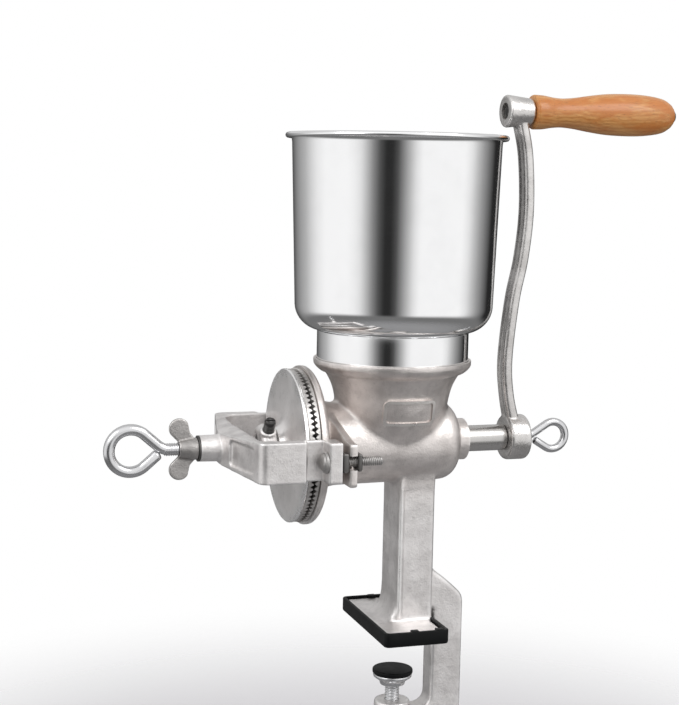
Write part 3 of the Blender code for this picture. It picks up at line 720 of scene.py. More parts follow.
def carved(name: str, mesh: Mesh, cutters: Sequence[Mesh],
           operation: str = "DIFFERENCE") -> Mesh:
    """Cut closed shells out of a mesh, or add or keep what they share with it.

    Args:
        name: the result's name.
        mesh: the mesh to work on.
        cutters: shells used one after the other.
        operation: the Boolean modifier's operation.

    Returns:
        The result.
    """
    carrier = new_object(name, mesh)
    tools = [new_object(name + "_tool", cutter) for cutter in cutters]
    for tool in tools:
        change = carrier.modifiers.new(tool.name, "BOOLEAN")
        change.operation = operation
        change.solver = "MANIFOLD"
        change.object = tool
    result = applied(carrier)
    for tool in tools:
        bpy.data.objects.remove(tool, do_unlink=True)
    return result


def smooth_path(points: Sequence[Sequence[float]], steps: int) -> list[Vector]:
    """A Catmull-Rom curve through points, with steps pieces to a span.

    Args:
        points: the points.
        steps: pieces between two points.

    Returns:
        The points in order.
    """
    knots = [Vector(point) for point in points]
    padded = [2 * knots[0] - knots[1], *knots, 2 * knots[-1] - knots[-2]]
    result: list[Vector] = []
    for a, b, c, d in zip(padded, padded[1:], padded[2:], padded[3:]):
        for k in range(steps):
            t = k / steps
            result.append(0.5 * (2 * b + (c - a) * t + (2 * a - 5 * b + 4 * c - d) * t * t
                                 + (3 * b - a - 3 * c + d) * t ** 3))
    result.append(knots[-1])
    return result


def bent_rod(name: str, route: Sequence[Point], radius: float) -> Mesh:
    """A round rod with domed ends along a line in the XZ plane.

    Args:
        name: the mesh's name.
        route: (x, z) points of the middle line.
        radius: the rod's radius.

    Returns:
        The mesh.
    """
    line = [Vector((x, 0.0, z)) for x, z in route]
    tangents = [(after - before).normalized()
                for before, after in zip([line[0], *line[:-1]], [*line[1:], line[-1]])]
    dome = [(radius * ROD_DOME * math.cos(a), radius * math.sin(a))
            for a in (math.radians(degrees) for degrees in (0, 25, 50, 72))]
    stations = [(line[0] - tangents[0] * reach, tangents[0], size) for reach, size in dome]
    stations += [(point, tangent, radius) for point, tangent in zip(line, tangents)]
    stations += [(line[-1] + tangents[-1] * reach, tangents[-1], size) for reach, size in reversed(dome)]
    rings: list[Ring] = []
    across = Vector((0.0, 1.0, 0.0))
    for place, tangent, size in stations:
        normal = tangent.cross(across).normalized()
        turns = [2 * math.pi * k / ROD_SIDES for k in range(ROD_SIDES if size > TINY else 1)]
        rings.append([place + size * (math.cos(a) * normal + math.sin(a) * across) for a in turns])
    return loft(name, rings)


@dataclass(frozen=True)
class EyeRoute:
    """The middle line of a rod bent into a teardrop eye, along and across its shank."""

    start: float
    neck: float
    centre: float
    radius: float
    tail: float

    def points(self) -> list[Point]:
        """(along, across) pairs from the shank's start to the end of the eye.

        Returns:
            The points in order.
        """
        way = 1.0 if self.centre > self.neck else -1.0
        reach = abs(self.centre - self.neck)
        lean = math.asin(self.radius / reach)
        bend = 0.3 * math.sqrt(reach ** 2 - self.radius ** 2)
        heading = (math.cos(lean), math.sin(lean))
        corner = abs(self.neck - self.start)
        route = [(0.0, 0.0), (corner - bend, 0.0)]
        for k in range(1, 9):
            t = k / 8
            along = ((1 - t) ** 2 * (corner - bend) + 2 * t * (1 - t) * corner
                     + t * t * (corner + bend * heading[0]))
            route.append((along, t * t * bend * heading[1]))
        turn = 90 + math.degrees(lean)
        route += arc((corner + reach, 0.0), self.radius, turn, -turn, 48)
        leave = route[-1]
        route.append((leave[0] - self.tail * heading[0], leave[1] + self.tail * heading[1]))
        return [(self.start + way * along, across) for along, across in route]


# ---- repeated shapes
class ThreadRecipe(Recipe):
    """A threaded rod along +X, closed at both ends."""

    ROWS_PER_TURN = 8
    SIDES = 30

    def __init__(self) -> None:
        """Build the tree."""
        super().__init__("threaded_rod")
        start, length = self.size("Start"), self.size("Length")
        crest, root, pitch = self.size("Crest Radius"), self.size("Root Radius"), self.size("Pitch")
        rows = self.size("Rows", "NodeSocketInt")
        sheet = self.node("GeometryNodeMeshGrid", None,
                          {"Size X": 1.0, "Size Y": 1.0, "Vertices X": rows, "Vertices Y": self.SIDES + 1})
        x, y, _ = self.parts(self.node("GeometryNodeInputPosition"))
        share, around = x + 0.5, y + 0.5
        along = share * length
        wave = abs((along / pitch - around + 40.0).fraction() - 0.5) * 2.0
        ridge = root + (crest - root) * (wave * 1.5 - 0.15).most(0.0).least(1.0)
        to_end = along.least(length - along)
        radius = ridge.least(root * 0.8 + to_end) * (to_end > TINY)
        angle = around * (2 * math.pi)
        point = self.node("ShaderNodeCombineXYZ", None,
                          {0: start + along, 1: radius * angle.cosine(), 2: radius * angle.sine()})
        bent = self.node("GeometryNodeSetPosition", None, {"Geometry": sheet, "Position": point})
        self.finish(self.node("GeometryNodeMergeByDistance", None, {"Geometry": bent, "Distance": MERGE}))

    def rod(self, name: str, span: Point, crest: float, root: float, pitch: float) -> Mesh:
        """One threaded rod.

        Args:
            name: the mesh's name.
            span: where it starts and stops along X.
            crest: radius over the thread.
            root: radius in the thread.
            pitch: length of a turn.

        Returns:
            The mesh, its faces outwards.
        """
        length = span[1] - span[0]
        rows = round(length / pitch * self.ROWS_PER_TURN) + 2
        mesh = self.make(name, {"Start": span[0], "Length": length, "Crest Radius": crest,
                                "Root Radius": root, "Pitch": pitch, "Rows": rows})
        return outwards(mesh)


class ToothRecipe(Recipe):
    """Radial teeth pressed into one face of a turned disc whose axis is X."""

    def __init__(self) -> None:
        """Build the tree."""
        super().__init__("radial_teeth")
        count, depth, side = self.size("Tooth Count"), self.size("Depth"), self.size("Face Side")
        face, inner, rim = self.size("Face Place"), self.size("Inner Radius"), self.size("Rim Radius")
        lean = self.size("Lean")
        x, y, z = self.parts(self.node("GeometryNodeInputPosition"))
        radius = (y * y + z * z).root()
        turn = z.angle_from(y) / (2 * math.pi) + 1.0 + radius * lean
        wave = abs((turn * count).fraction() - 0.5) * 2.0
        valley = (wave * 1.9 - 0.45).most(0.0).least(1.0)
        share = ((radius - inner) / (rim - inner)).most(0.0).least(1.0)
        on_face = 1.0 - (abs(x - face) > 0.0004)
        push = valley * share * depth * on_face * side * -1.0
        offset = self.node("ShaderNodeCombineXYZ", None, {0: push, 1: 0.0, 2: 0.0})
        self.finish(self.node("GeometryNodeSetPosition", None, {"Geometry": self.blank(), "Offset": offset}))


def outwards(mesh: Mesh) -> Mesh:
    """Merge a mesh's doubles and turn its faces outwards.

    Args:
        mesh: the mesh.

    Returns:
        The mesh.
    """
    work = bmesh.new()
    work.from_mesh(mesh)
    bmesh.ops.remove_doubles(work, verts=work.verts, dist=TINY)
    bmesh.ops.dissolve_degenerate(work, edges=work.edges, dist=TINY)
    bmesh.ops.recalc_face_normals(work, faces=work.faces)
    return poured(work, mesh)


# ---- finishes
@dataclass(frozen=True)
class CastFinish:
    """A satin metal casting: mottled tin over sand-cast grain, with edges painted brighter, partly as wear
    and partly as painted highlight.
    """

    name: str
    colour: Colour
    shade: Colour
    roughness: float = 0.40
    metallic: float = 0.90
    grain: float = 0.00022
    mottle_scale: float = 55.0
    grain_scale: float = 900.0
    # painted shade: a tint multiplied into the colour above a height, rising between two heights
    painted_shade_tint: Colour = (1.0, 1.0, 1.0)
    painted_shade_from: float = 0.0
    painted_shade_to: float = 1.0

    def material(self) -> bpy.types.Material:
        """The finish as a material.

        Returns:
            The material.
        """
        tree = ShaderGraph(self.name)
        mottle = tree.noise(self.mottle_scale, 5.0, 0.62)
        sand = tree.noise(self.grain_scale, 3.0, 0.6)
        pits = tree.noise(self.grain_scale * 0.35, 4.0, 0.65)
        # painted highlight and wear: convex edges, found by pointiness, are painted brighter
        edge_wear_and_highlight = tree.node("ShaderNodeNewGeometry", output="Pointiness").step_between(0.50, 0.57)
        base = tree.tint(mottle.step_between(0.32, 0.68), self.shade, self.colour)
        speck = tree.tint(pits.step_between(0.54, 0.76) * 0.38, base, tuple(0.60 * c for c in self.shade))
        bright = tree.tint(edge_wear_and_highlight * 0.6, speck, tuple(min(1.0, 1.20 * c) for c in self.colour))
        if self.painted_shade_tint != (1.0, 1.0, 1.0):
            bright = self._painted_shade(tree, bright)
        rough = self.roughness + (mottle - 0.5) * 0.34 + (sand - 0.5) * 0.16 - edge_wear_and_highlight * 0.10
        relief = tree.bump(pits, self.grain * 2.0, 0.5)
        normal = tree.bump(sand, self.grain * 1.3, 0.6, relief)
        return tree.surface({"Metallic": self.metallic, "Specular IOR Level": 0.5},
                            {"Base Color": bright, "Roughness": rough, "Normal": normal})

    def _painted_shade(self, tree: ShaderGraph, colour: Value) -> Value:
        """The colour with painted shade: warmer and darker above a height.

        Args:
            tree: the tree to add to.
            colour: the colour.

        Returns:
            The colour with its painted shade.
        """
        # painted shade: the tint fades in, with a little noise, between the two heights
        height = tree.parts(tree.place)[2]
        drift = (tree.noise(18.0, 3.0) - 0.5) * 0.02
        share = (height + drift).step_between(self.painted_shade_from, self.painted_shade_to)
        dull = tree.node("ShaderNodeMix", {"data_type": "RGBA", "blend_type": "MULTIPLY"},
                         {0: 1.0, 6: colour, 7: (*self.painted_shade_tint, 1.0)}, output=2)
        return tree.tint(share, colour, dull)


@dataclass(frozen=True)
class PolishedFinish:
    """Bright spun or drawn metal with fine turning marks and a little haze."""

    name: str
    colour: Colour
    roughness: float
    marks: Colour
    depth: float = 0.000004
    haze: float = 0.05
    smudged: float = 0.90

    def material(self) -> bpy.types.Material:
        """The finish as a material.

        Returns:
            The material.
        """
        tree = ShaderGraph(self.name)
        marks = tree.noise(1.0, 3.0, 0.6, tree.stretched(self.marks))
        smudge = tree.noise(38.0, 4.0, 0.6)
        dull = tuple(self.smudged * c for c in self.colour)
        base = tree.tint(smudge.step_between(0.42, 0.70), self.colour, dull)
        rough = self.roughness + smudge.step_between(0.45, 0.75) * self.haze + (marks - 0.5) * self.haze
        return tree.surface({"Metallic": 1.0},
                            {"Base Color": base, "Roughness": rough, "Normal": tree.bump(marks, self.depth)})


@dataclass(frozen=True)
class BlackenedFinish:
    """Blackened steel, painted brighter along its crests, partly as rubbed wear and partly as painted
    highlight.
    """

    name: str
    colour: Colour = (0.045, 0.043, 0.042)
    rubbed_and_highlight: Colour = (0.34, 0.33, 0.32)

    def material(self) -> bpy.types.Material:
        """The finish as a material.

        Returns:
            The material.
        """
        tree = ShaderGraph(self.name)
        patch = tree.noise(260.0, 4.0, 0.6)
        fine = tree.noise(1500.0, 2.0, 0.5)
        # painted highlight and wear: crests, found by pointiness, and noise patches are painted towards the
        # crest colour
        edge_wear_and_highlight = tree.node("ShaderNodeNewGeometry", output="Pointiness").step_between(0.51, 0.60)
        share = edge_wear_and_highlight * 0.8 + patch.step_between(0.58, 0.78) * 0.35
        base = tree.tint(share, self.colour, self.rubbed_and_highlight)
        rough = 0.42 + (patch - 0.5) * 0.3
        return tree.surface({"Metallic": 0.85},
                            {"Base Color": base, "Roughness": rough, "Normal": tree.bump(fine, 0.00006, 0.5)})


@dataclass(frozen=True)
class WoodFinish:
    """Turned hardwood under clear varnish, its grain along X."""

    name: str
    axis: Colour
    pale: Colour = (0.68, 0.34, 0.110)
    dark: Colour = (0.40, 0.145, 0.028)
    amber: Colour = (0.50, 0.150, 0.022)
    vein: Colour = (0.18, 0.060, 0.015)

    def material(self) -> bpy.types.Material:
        """The finish as a material.

        Returns:
            The material.
        """
        tree = ShaderGraph(self.name)
        drift = tree.noise(1.0, 4.0, 0.62, tree.stretched((26.0, 70.0, 70.0), self.axis))
        warp = tree.node("ShaderNodeVectorMath", {"operation": "MULTIPLY_ADD"},
                         {0: tree.node("ShaderNodeTexNoise", None,
                                       {"Vector": tree.place, "Scale": 30.0, "Detail": 2.0}, output="Color"),
                          1: (0.010, 0.010, 0.010),
                          2: tree.stretched((0.22, 1.0, 1.0), (self.axis[0], self.axis[1] - 0.013,
                                                               self.axis[2] + 0.021))})
        rings = tree.node("ShaderNodeTexWave", {"wave_type": "RINGS", "rings_direction": "X"},
                          {"Vector": warp, "Scale": 115.0, "Distortion": 2.2, "Detail": 3.0,
                           "Detail Scale": 1.6}, output="Fac")
        fibre = tree.noise(1.0, 5.0, 0.68, tree.stretched((60.0, 1500.0, 1500.0), self.axis))
        pores = tree.noise(1.0, 2.0, 0.5, tree.stretched((210.0, 2600.0, 2600.0), self.axis))
        grain = rings.step_between(0.0, 1.0) * 0.15 + fibre * 0.85
        base = tree.tint(grain.step_between(0.20, 0.85), self.pale, self.dark)
        shaded = tree.tint(drift.step_between(0.44, 0.60) * 0.75, base, self.amber)
        veined = tree.tint(pores.step_between(0.60, 0.72) * 0.55, shaded, self.vein)
        height = fibre * 0.6 + pores * 0.4
        rough = 0.44 + (fibre - 0.5) * 0.25
        return tree.surface({"Metallic": 0.0, "Coat Weight": 0.40, "Coat Roughness": 0.18,
                             "Specular IOR Level": 0.45},
                            {"Base Color": veined, "Roughness": rough,
                             "Normal": tree.bump(height, 0.00012, 0.5)})


@dataclass(frozen=True)
class RubberFinish:
    """Matt moulded rubber with a trace of dust in its texture."""

    name: str
    colour: Colour = (0.003, 0.0034, 0.0037)
    dust: Colour = (0.010, 0.0103, 0.0107)

    def material(self) -> bpy.types.Material:
        """The finish as a material.

        Returns:
            The material.
        """
        tree = ShaderGraph(self.name)
        patch = tree.noise(90.0, 4.0, 0.6)
        fine = tree.noise(1100.0, 2.0, 0.5)
        base = tree.tint(patch.step_between(0.50, 0.80) * 0.5, self.colour, self.dust)
        rough = 0.46 + (patch - 0.5) * 0.3
        return tree.surface({"Metallic": 0.0, "Specular IOR Level": 0.14},
                            {"Base Color": base, "Roughness": rough, "Normal": tree.bump(fine, 0.00010, 0.5)})


@dataclass(frozen=True)
class Look:
    """A finish as a material, and the record's slot that it shows."""

    slot: Slot
    material: bpy.types.Material


# ---- bench
@dataclass
class Bench:
    """Where finished meshes become pieces of the mill."""

    shaft_height: float
    looks: dict[str, Look] = field(default_factory=dict)
    pieces: int = 0
    triangles: int = 0

    def deliver(self, name: str, mesh: Mesh, look: str, body: str, node: str,
                crease: float = 38.0) -> None:
        """Turn a mesh into a piece that stands for a CAD node.

        Args:
            name: the piece's name.
            mesh: the finished mesh, in the shaft's frame.
            look: the finish's name in looks.
            body: the body that the piece rides on.
            node: the CAD node that the piece replaces.
            crease: edges sharper than this many degrees stay sharp.
        """
        mesh.transform(Matrix.Translation((0.0, 0.0, self.shaft_height)))
        mesh.name = name
        mesh.materials.clear()
        mesh.materials.append(self.looks[look].material)
        self._shade(mesh, crease)
        piece = new_object(name, mesh)
        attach(piece, body)
        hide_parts(node)
        count = sum(len(face.vertices) - 2 for face in mesh.polygons)
        self.pieces += 1
        self.triangles += count
        LOG.info("%-22s %-18s %7d triangles, %5.2f mm outside its node", name, body, count,
                 1000 * self._overshoot(piece, node))

    @staticmethod
    def _shade(mesh: Mesh, crease: float) -> None:
        """Shade a mesh smooth, apart from its sharp edges.

        Args:
            mesh: the mesh to shade.
            crease: edges sharper than this many degrees stay sharp.
        """
        work = bmesh.new()
        work.from_mesh(mesh)
        limit = math.radians(crease)
        for face in work.faces:
            face.smooth = True
            face.material_index = 0
        for edge in work.edges:
            edge.smooth = len(edge.link_faces) != 2 or edge.calc_face_angle(0.0) < limit
        poured(work, mesh)

    @staticmethod
    def _overshoot(piece: bpy.types.Object, node: str) -> float:
        """How far a piece reaches outside the box of its node.

        Args:
            piece: the piece.
            node: the CAD node.

        Returns:
            The reach in metres.
        """
        low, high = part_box(node)
        points = [vertex.co for vertex in piece.data.vertices]
        return max(max(low[k] - min(p[k] for p in points), max(p[k] for p in points) - high[k])
                   for k in range(3))


# ---- casting
@dataclass
class Casting:
    """The mill's body: throat, barrel, burr flange, lugs, leg, foot plate and clamp arm."""

    barrel_radius: float = 0.0268
    bore_radius: float = 0.0210
    journal_radius: float = 0.0093
    flange_radius: float = 0.0531
    flange_face: float = -0.0643
    rear_boss_radius: float = 0.0141
    rear_face: float = 0.0531
    lip_radius: float = 0.0534
    lip_top: float = 0.0571
    lug_x: Point = (-0.0522, -0.0466)
    lug_reach: float = 0.0710
    slot_half: float = 0.0046
    leg_x: Point = (0.0018, 0.0276)
    leg_half: float = 0.0172
    channel_x: Point = (0.0068, 0.0226)
    channel_z: Point = (-0.1080, -0.0420)
    foot_x: Point = (-0.0142, 0.0257)
    foot_half: float = 0.0443
    foot_z: Point = (-0.1267, -0.1219)
    arm_x: Point = (0.0310, 0.0540)
    arm_half: float = 0.0085
    clamp_x: float = 0.0058
    clamp_boss_z: Point = (-0.2060, -0.1820)
    clamp_thread: float = 0.0053
    trunk_grain: float = 0.0014
    trunk_rounds: int = 16
    skin_grain: float = 0.00115
    skin_rounds: int = 3

    def build(self, bench: Bench) -> None:
        """Make the casting and hand it over.

        Args:
            bench: takes the finished pieces.
        """
        round_parts = self._turnings()
        trunk = fused("trunk", [round_parts["throat"], round_parts["barrel"]], self.trunk_grain,
                      self.trunk_rounds)
        shells = [trunk, round_parts["lip"], round_parts["flange"], round_parts["rear_boss"], self._leg(),
                  self._ridge(), self._foot(), self._arm(), self._clamp_boss(), self._lug(-1), self._lug(1)]
        skin = fused("mill_casting", shells, self.skin_grain, self.skin_rounds)
        face, rear, lip = self.flange_face, self.rear_face, self.lip_top
        first = together("first_cut", [round_parts["cavity"], self._trim(0, face - 0.010, face, 0.060),
                                       self._trim(0, rear, rear + 0.010, 0.030), self._lug_slot(-1),
                                       self._lug_slot(1), self._clamp_hole(), self._channel()])
        second = together("second_cut", [round_parts["bore"], self._trim(2, lip, lip + 0.010, 0.060)])
        body = carved("mill_casting", skin, [first, second])
        body = carved("mill_casting", body, [self._nameplate()], "UNION")
        bench.deliver("mill_casting", body, "body_casting", "frame", "mill_body")

    def _turnings(self) -> dict[str, Mesh]:
        """The casting's turned shells and cutters.

        Returns:
            Each mesh by its name.
        """
        lip, top, flange, face = self.lip_radius, self.lip_top, self.flange_radius, self.flange_face
        boss, rear = self.rear_boss_radius + 0.0002, self.rear_face
        journal, bore = self.journal_radius, self.bore_radius
        dome = [(radius, x) for x, radius in arc((0.0330, 0.0150), 0.0122, 85, 14, 8)]
        profiles = {
            "throat": (Axis.Z, FINE, [
                (0.0, 0.0560), (0.0480, 0.0560), (0.0468, 0.0500), (0.0438, 0.0450), (0.0412, 0.0400),
                (0.0397, 0.0350), (0.0385, 0.0290), (0.0370, 0.0210), (0.0335, 0.0120), (0.0270, 0.0020),
                (0.0, 0.0)]),
            "barrel": (Axis.X, FINE, [
                (0.0, -0.0600), (0.0352, -0.0600), (0.0352, -0.0562), (0.0302, -0.0520),
                (self.barrel_radius + 0.0012, -0.0430), (self.barrel_radius + 0.0004, 0.0200), *dome,
                (0.0, dome[-1][1])]),
            "lip": (Axis.Z, FINE, [
                (0.0, top + 0.0015), (lip, top + 0.0015), (lip, 0.0537), (0.0515, 0.0512), (0.0482, 0.0486),
                (0.0, 0.0480)]),
            "flange": (Axis.X, FINE, [
                (0.0, face - 0.0015), (flange, face - 0.0015), (flange, -0.0612), (flange - 0.0020, -0.0588),
                (0.0420, -0.0574), (0.0350, -0.0556), (0.0, -0.0540)]),
            "rear_boss": (Axis.X, FINE, [
                (0.0, rear + 0.0015), (boss, rear + 0.0015), (boss, 0.0440), (0.0, 0.0400)]),
            "cavity": (Axis.Z, FINE, [
                (0.0, top + 0.0010), (0.0515, top + 0.0010), (0.0515, 0.0544), (0.0447, 0.0544),
                (0.0447, 0.0500), (0.0400, 0.0462), (0.0362, 0.0410), (0.0345, 0.0340), (0.0335, 0.0240),
                (0.0290, 0.0150), (0.0150, 0.0080), (0.0, 0.0080)]),
            "bore": (Axis.X, ROUND, [
                (0.0, rear + 0.004), (journal, rear + 0.004), (journal, 0.0350), (bore, 0.0330),
                (bore, face - 0.004), (0.0, face - 0.004)]),
        }
        return {name: turned(name, profile, segments, axis)
                for name, (axis, segments, profile) in profiles.items()}

    def _leg(self) -> Mesh:
        """The leg, flared at its foot.

        Returns:
            The mesh.
        """
        middle = sum(self.leg_x) / 2
        half = (self.leg_x[1] - self.leg_x[0]) / 2
        rings: list[Ring] = []
        stations = [(-0.1235, 0.0072, 0.0010), (-0.1208, 0.0066, 0.0006), (-0.1185, 0.0044, 0.0001),
                    (-0.1160, 0.0026, 0.0), (-0.1125, 0.0012, 0.0), (-0.1080, 0.0004, 0.0),
                    (-0.1000, 0.0, 0.0), (-0.0320, 0.0, 0.0), (-0.0240, 0.0006, 0.0010),
                    (-0.0150, 0.0020, 0.0030)]
        for z, wide_x, wide_y in stations:
            outline = rounded_rectangle((half + wide_x / 2, self.leg_half + wide_y), 0.0022)
            rings.append([Vector((middle - wide_x / 2 + u, v, z)) for u, v in outline])
        return loft("leg", rings)

    def _ridge(self) -> Mesh:
        """The parting line's ridge down the leg's near corner.

        Returns:
            The mesh.
        """
        edge, front = self.leg_x[0], -self.leg_half
        return block("ridge", (edge - 0.0004, front - 0.0018, -0.1190),
                     (edge + 0.0024, front + 0.0020, -0.0200), 0.0004)

    def _foot(self) -> Mesh:
        """The flat plate that stands in the boot."""
        low = (self.foot_x[0], -self.foot_half, self.foot_z[0])
        return block("foot", low, (self.foot_x[1], self.foot_half, self.foot_z[1]), 0.0008)

    def _arm(self) -> Mesh:
        """The clamp's C-shaped arm beside the table edge.

        Returns:
            The mesh.
        """
        inner, outer = self.arm_x
        low = self.clamp_boss_z[0]
        left = self.clamp_x - 0.0080
        outline = [(self.leg_x[0] + 0.010, -0.0800), (self.leg_x[1] - 0.001, -0.0800), (0.0290, -0.0860),
                   (0.0325, -0.0905), (0.0385, -0.0950), (0.0450, -0.1005)]
        outline += arc((outer - 0.0120, -0.1140), 0.0120, 40, 0, 5)
        outline += arc((outer - 0.0160, low + 0.0190), 0.0160, 0, -90, 8)
        outline += [(left, low + 0.0040), (left, low + 0.0165), (inner - 0.0090, low + 0.0185)]
        outline += arc((inner - 0.0080, low + 0.0265), 0.0080, -80, 0, 5)
        outline += [(inner, -0.1175), (self.leg_x[0] + 0.010, -0.1175)]
        return slab("clamp_arm", outline, -self.arm_half, self.arm_half, Plane.XZ, 0.0022)

    def _clamp_boss(self) -> Mesh:
        """The boss that the clamp screw runs in."""
        low, high = self.clamp_boss_z
        return cylinder("clamp_boss", 0.0125, low, high, ROUND, Axis.Z, (self.clamp_x, 0.0, 0.0), 0.0015)

    def _lug(self, side: int) -> Mesh:
        """One ear for a yoke bolt; side is -1 or 1 along Y.

        Args:
            side: -1 or 1 along Y.

        Returns:
            The mesh.
        """
        reach = self.lug_reach
        outline = [(0.0180, 0.0240), (0.0600, 0.0128), (0.0700, 0.0122), (reach, 0.0112), (reach, -0.0150),
                   (0.0700, -0.0160), (0.0560, -0.0160), (0.0180, -0.0235)]
        return slab("lug", [(side * u, v) for u, v in outline], *self.lug_x, Plane.YZ, 0.0005)

    def _lug_slot(self, side: int) -> Mesh:
        """The open slot of one ear.

        Args:
            side: -1 or 1 along Y.

        Returns:
            The mesh.
        """
        near, far = sorted((side * 0.0580, side * 0.0800))
        return block("lug_slot", (self.lug_x[0] - 0.004, near, -self.slot_half),
                     (self.lug_x[1] + 0.004, far, self.slot_half), 0.0)

    def _channel(self) -> Mesh:
        """The hollow behind the leg, open away from the crank's user.

        Returns:
            The mesh.
        """
        (x_low, x_high), (z_low, z_high) = self.channel_x, self.channel_z
        half = ((x_high - x_low) / 2, (z_high - z_low) / 2)
        x, z = (x_low + x_high) / 2, (z_low + z_high) / 2
        rings: list[Ring] = []
        for y, grow in ((-0.0112, -0.0024), (-0.0104, -0.0010), (-0.0088, -0.0002), (0.0150, 0.0),
                        (self.leg_half - 0.0006, 0.0002), (self.leg_half + 0.0006, 0.0014),
                        (self.leg_half + 0.0100, 0.0060)):
            outline = rounded_rectangle((half[0] + grow, half[1] + grow), 0.0036)
            rings.append([Vector((x + u, y, z + v)) for u, v in outline])
        return loft("channel", rings)

    def _trim(self, axis: int, low: float, high: float, reach: float) -> Mesh:
        """What is machined off a face, between two places along one axis.

        Args:
            axis: 0 for X or 2 for Z.
            low: the lower place.
            high: the upper place.
            reach: half its width across the axis.

        Returns:
            The mesh.
        """
        corners = [[-reach] * 3, [reach] * 3]
        corners[0][axis], corners[1][axis] = low, high
        return block("trim", *corners, 0.0)

    def _clamp_hole(self) -> Mesh:
        """The clamp screw's hole.

        Returns:
            The mesh.
        """
        low, high = self.clamp_boss_z
        return cylinder("clamp_hole", self.clamp_thread, low - 0.003, high + 0.003, SMALL, Axis.Z,
                        (self.clamp_x, 0.0, 0.0))

    def _nameplate(self) -> Mesh:
        """A blank cast plate with a raised border on the front of the throat.

        Returns:
            The mesh.
        """
        shells: list[Mesh] = []
        for half, corner, depth, extra, operation in (
                ((0.0180, 0.0085), 0.0035, (-0.0460, -0.0250), 0.0021, "INTERSECT"),
                ((0.0160, 0.0066), 0.0022, (-0.0470, -0.0240), 0.0010, "DIFFERENCE")):
            outline = [(u, 0.0250 + v) for u, v in rounded_rectangle(half, corner)]
            plate = slab("plate", outline, *depth, Plane.XZ)
            profile = [(0.0, 0.0400), (0.0408 + extra, 0.0400), (0.0397 + extra, 0.0350),
                       (0.0385 + extra, 0.0290), (0.0370 + extra, 0.0210), (0.0335 + extra, 0.0120),
                       (0.0, 0.0120)]
            shells.append(carved("plate", plate, [turned("bulge", profile, FINE)], operation))
        return carved("nameplate", shells[0], shells[1:])


@dataclass
class Boot:
    """The rubber boot that the foot plate is pressed into."""

    x: Point = (-0.0170, 0.0286)
    half: float = 0.0472
    z: Point = (-0.1300, -0.1203)
    pocket_x: Point = (-0.0145, 0.0260)
    pocket_half: float = 0.0446
    pocket_z: float = -0.1270
    tab_x: Point = (0.0020, 0.0195)
    tab_width: float = 0.0052
    corner: float = 0.0036

    def build(self, bench: Bench) -> None:
        """Make the boot and hand it over.

        Args:
            bench: takes the finished pieces.
        """
        middle = sum(self.x) / 2
        outer = ((self.x[1] - self.x[0]) / 2, self.half)
        inner = ((self.pocket_x[1] - self.pocket_x[0]) / 2, self.pocket_half)
        low, high = self.z
        levels = [(outer, -0.0012, low, self.corner), (outer, -0.0003, low + 0.0004, self.corner),
                  (outer, 0.0, low + 0.0014, self.corner), (outer, 0.0, high - 0.0008, self.corner),
                  (outer, -0.0003, high - 0.0002, self.corner), (outer, -0.0008, high, self.corner),
                  (inner, 0.0005, high, 0.0016), (inner, 0.0, high - 0.0005, 0.0014),
                  (inner, 0.0, self.pocket_z, 0.0014)]
        rings = []
        for half, grow, z, corner in levels:
            outline = rounded_rectangle((half[0] + grow, half[1] + grow), corner + grow)
            rings.append([Vector((middle + u, v, z)) for u, v in outline])
        shells = [loft("tray", rings)]
        for side in (-1, 1):
            for x in self.tab_x:
                near, far = sorted((side * (self.pocket_half - 0.0025), side * (self.half - 0.0008)))
                shells.append(block("tab", (x, near, -0.1216), (x + self.tab_width, far, high + 0.0005),
                                    0.0005))
        mesh = together("rubber_boot", shells)
        bench.deliver("rubber_boot", mesh, "rubber", "frame", "foot_boot")


# ---- hopper
@dataclass
class Hopper:
    """The spun cup with its rolled rim, and the polished band under it."""

    rim_radius: float = 0.0745
    rim_z: float = 0.2074
    bead: float = 0.0019
    top_radius: float = 0.0700
    low_radius: float = 0.0667
    corner: float = 0.0178
    base_z: float = 0.0764
    wall: float = 0.0011
    outlet_radius: float = 0.0445
    neck_radius: float = 0.0512
    neck_wall: float = 0.0013
    spigot_radius: float = 0.0444
    seat_z: float = 0.0547
    crease: float = 50.0                   # degrees; gentler edges are shaded smooth

    def build(self, bench: Bench) -> None:
        """Make both pieces and hand them over.

        Args:
            bench: takes the finished pieces.
        """
        cup = turned("cup", self._cup_profile(), 176, closed=True)
        bench.deliver("spun_cup", cup, "hopper", "hopper", "hopper_cup", self.crease)
        neck = turned("neck", self._neck_profile(), FINE, closed=True)
        bench.deliver("neck_band", neck, "hopper", "hopper", "hopper_neck", self.crease)

    def _cup_profile(self) -> list[Point]:
        """The cup's wall as a closed loop: outside down, inside up.

        Returns:
            The points in order.
        """
        bead = self.bead
        corner_z, corner_r = self.base_z + self.corner, self.low_radius - self.corner
        outer = arc((self.rim_radius - bead, self.rim_z - bead), bead, 115, -120, 14)
        outer += [(self.top_radius + 0.0010, self.rim_z - 0.0031),
                  (self.top_radius + 0.0003, self.rim_z - 0.0042), (self.top_radius, self.rim_z - 0.0065)]
        outer += arc((corner_r, corner_z), self.corner, 0, -90, 22)
        outer += [(self.outlet_radius, self.base_z), (self.outlet_radius, self.base_z + self.wall)]
        inner = arc((corner_r, corner_z), self.corner - self.wall, -90, 0, 22)
        inner += [(self.top_radius - self.wall, self.rim_z - 0.0065),
                  (self.top_radius - self.wall + 0.0006, self.rim_z - 0.0030),
                  (self.top_radius + 0.0008, self.rim_z - 0.0010)]
        return outer + inner

    def _neck_profile(self) -> list[Point]:
        """The band's wall as a closed loop, with the spigot that locates it.

        Returns:
            The points in order.
        """
        top = self.base_z - GAP
        outer, spigot, wall, seat = self.neck_radius, self.spigot_radius, self.neck_wall, self.seat_z
        corners = [(outer, top), (outer, seat), (spigot, seat), (spigot, 0.0505), (spigot - wall, 0.0505),
                   (spigot - wall, seat + wall), (outer - wall, seat + wall), (outer - wall, top)]
        return softened(corners, 0.0005, 3, cyclic=True)


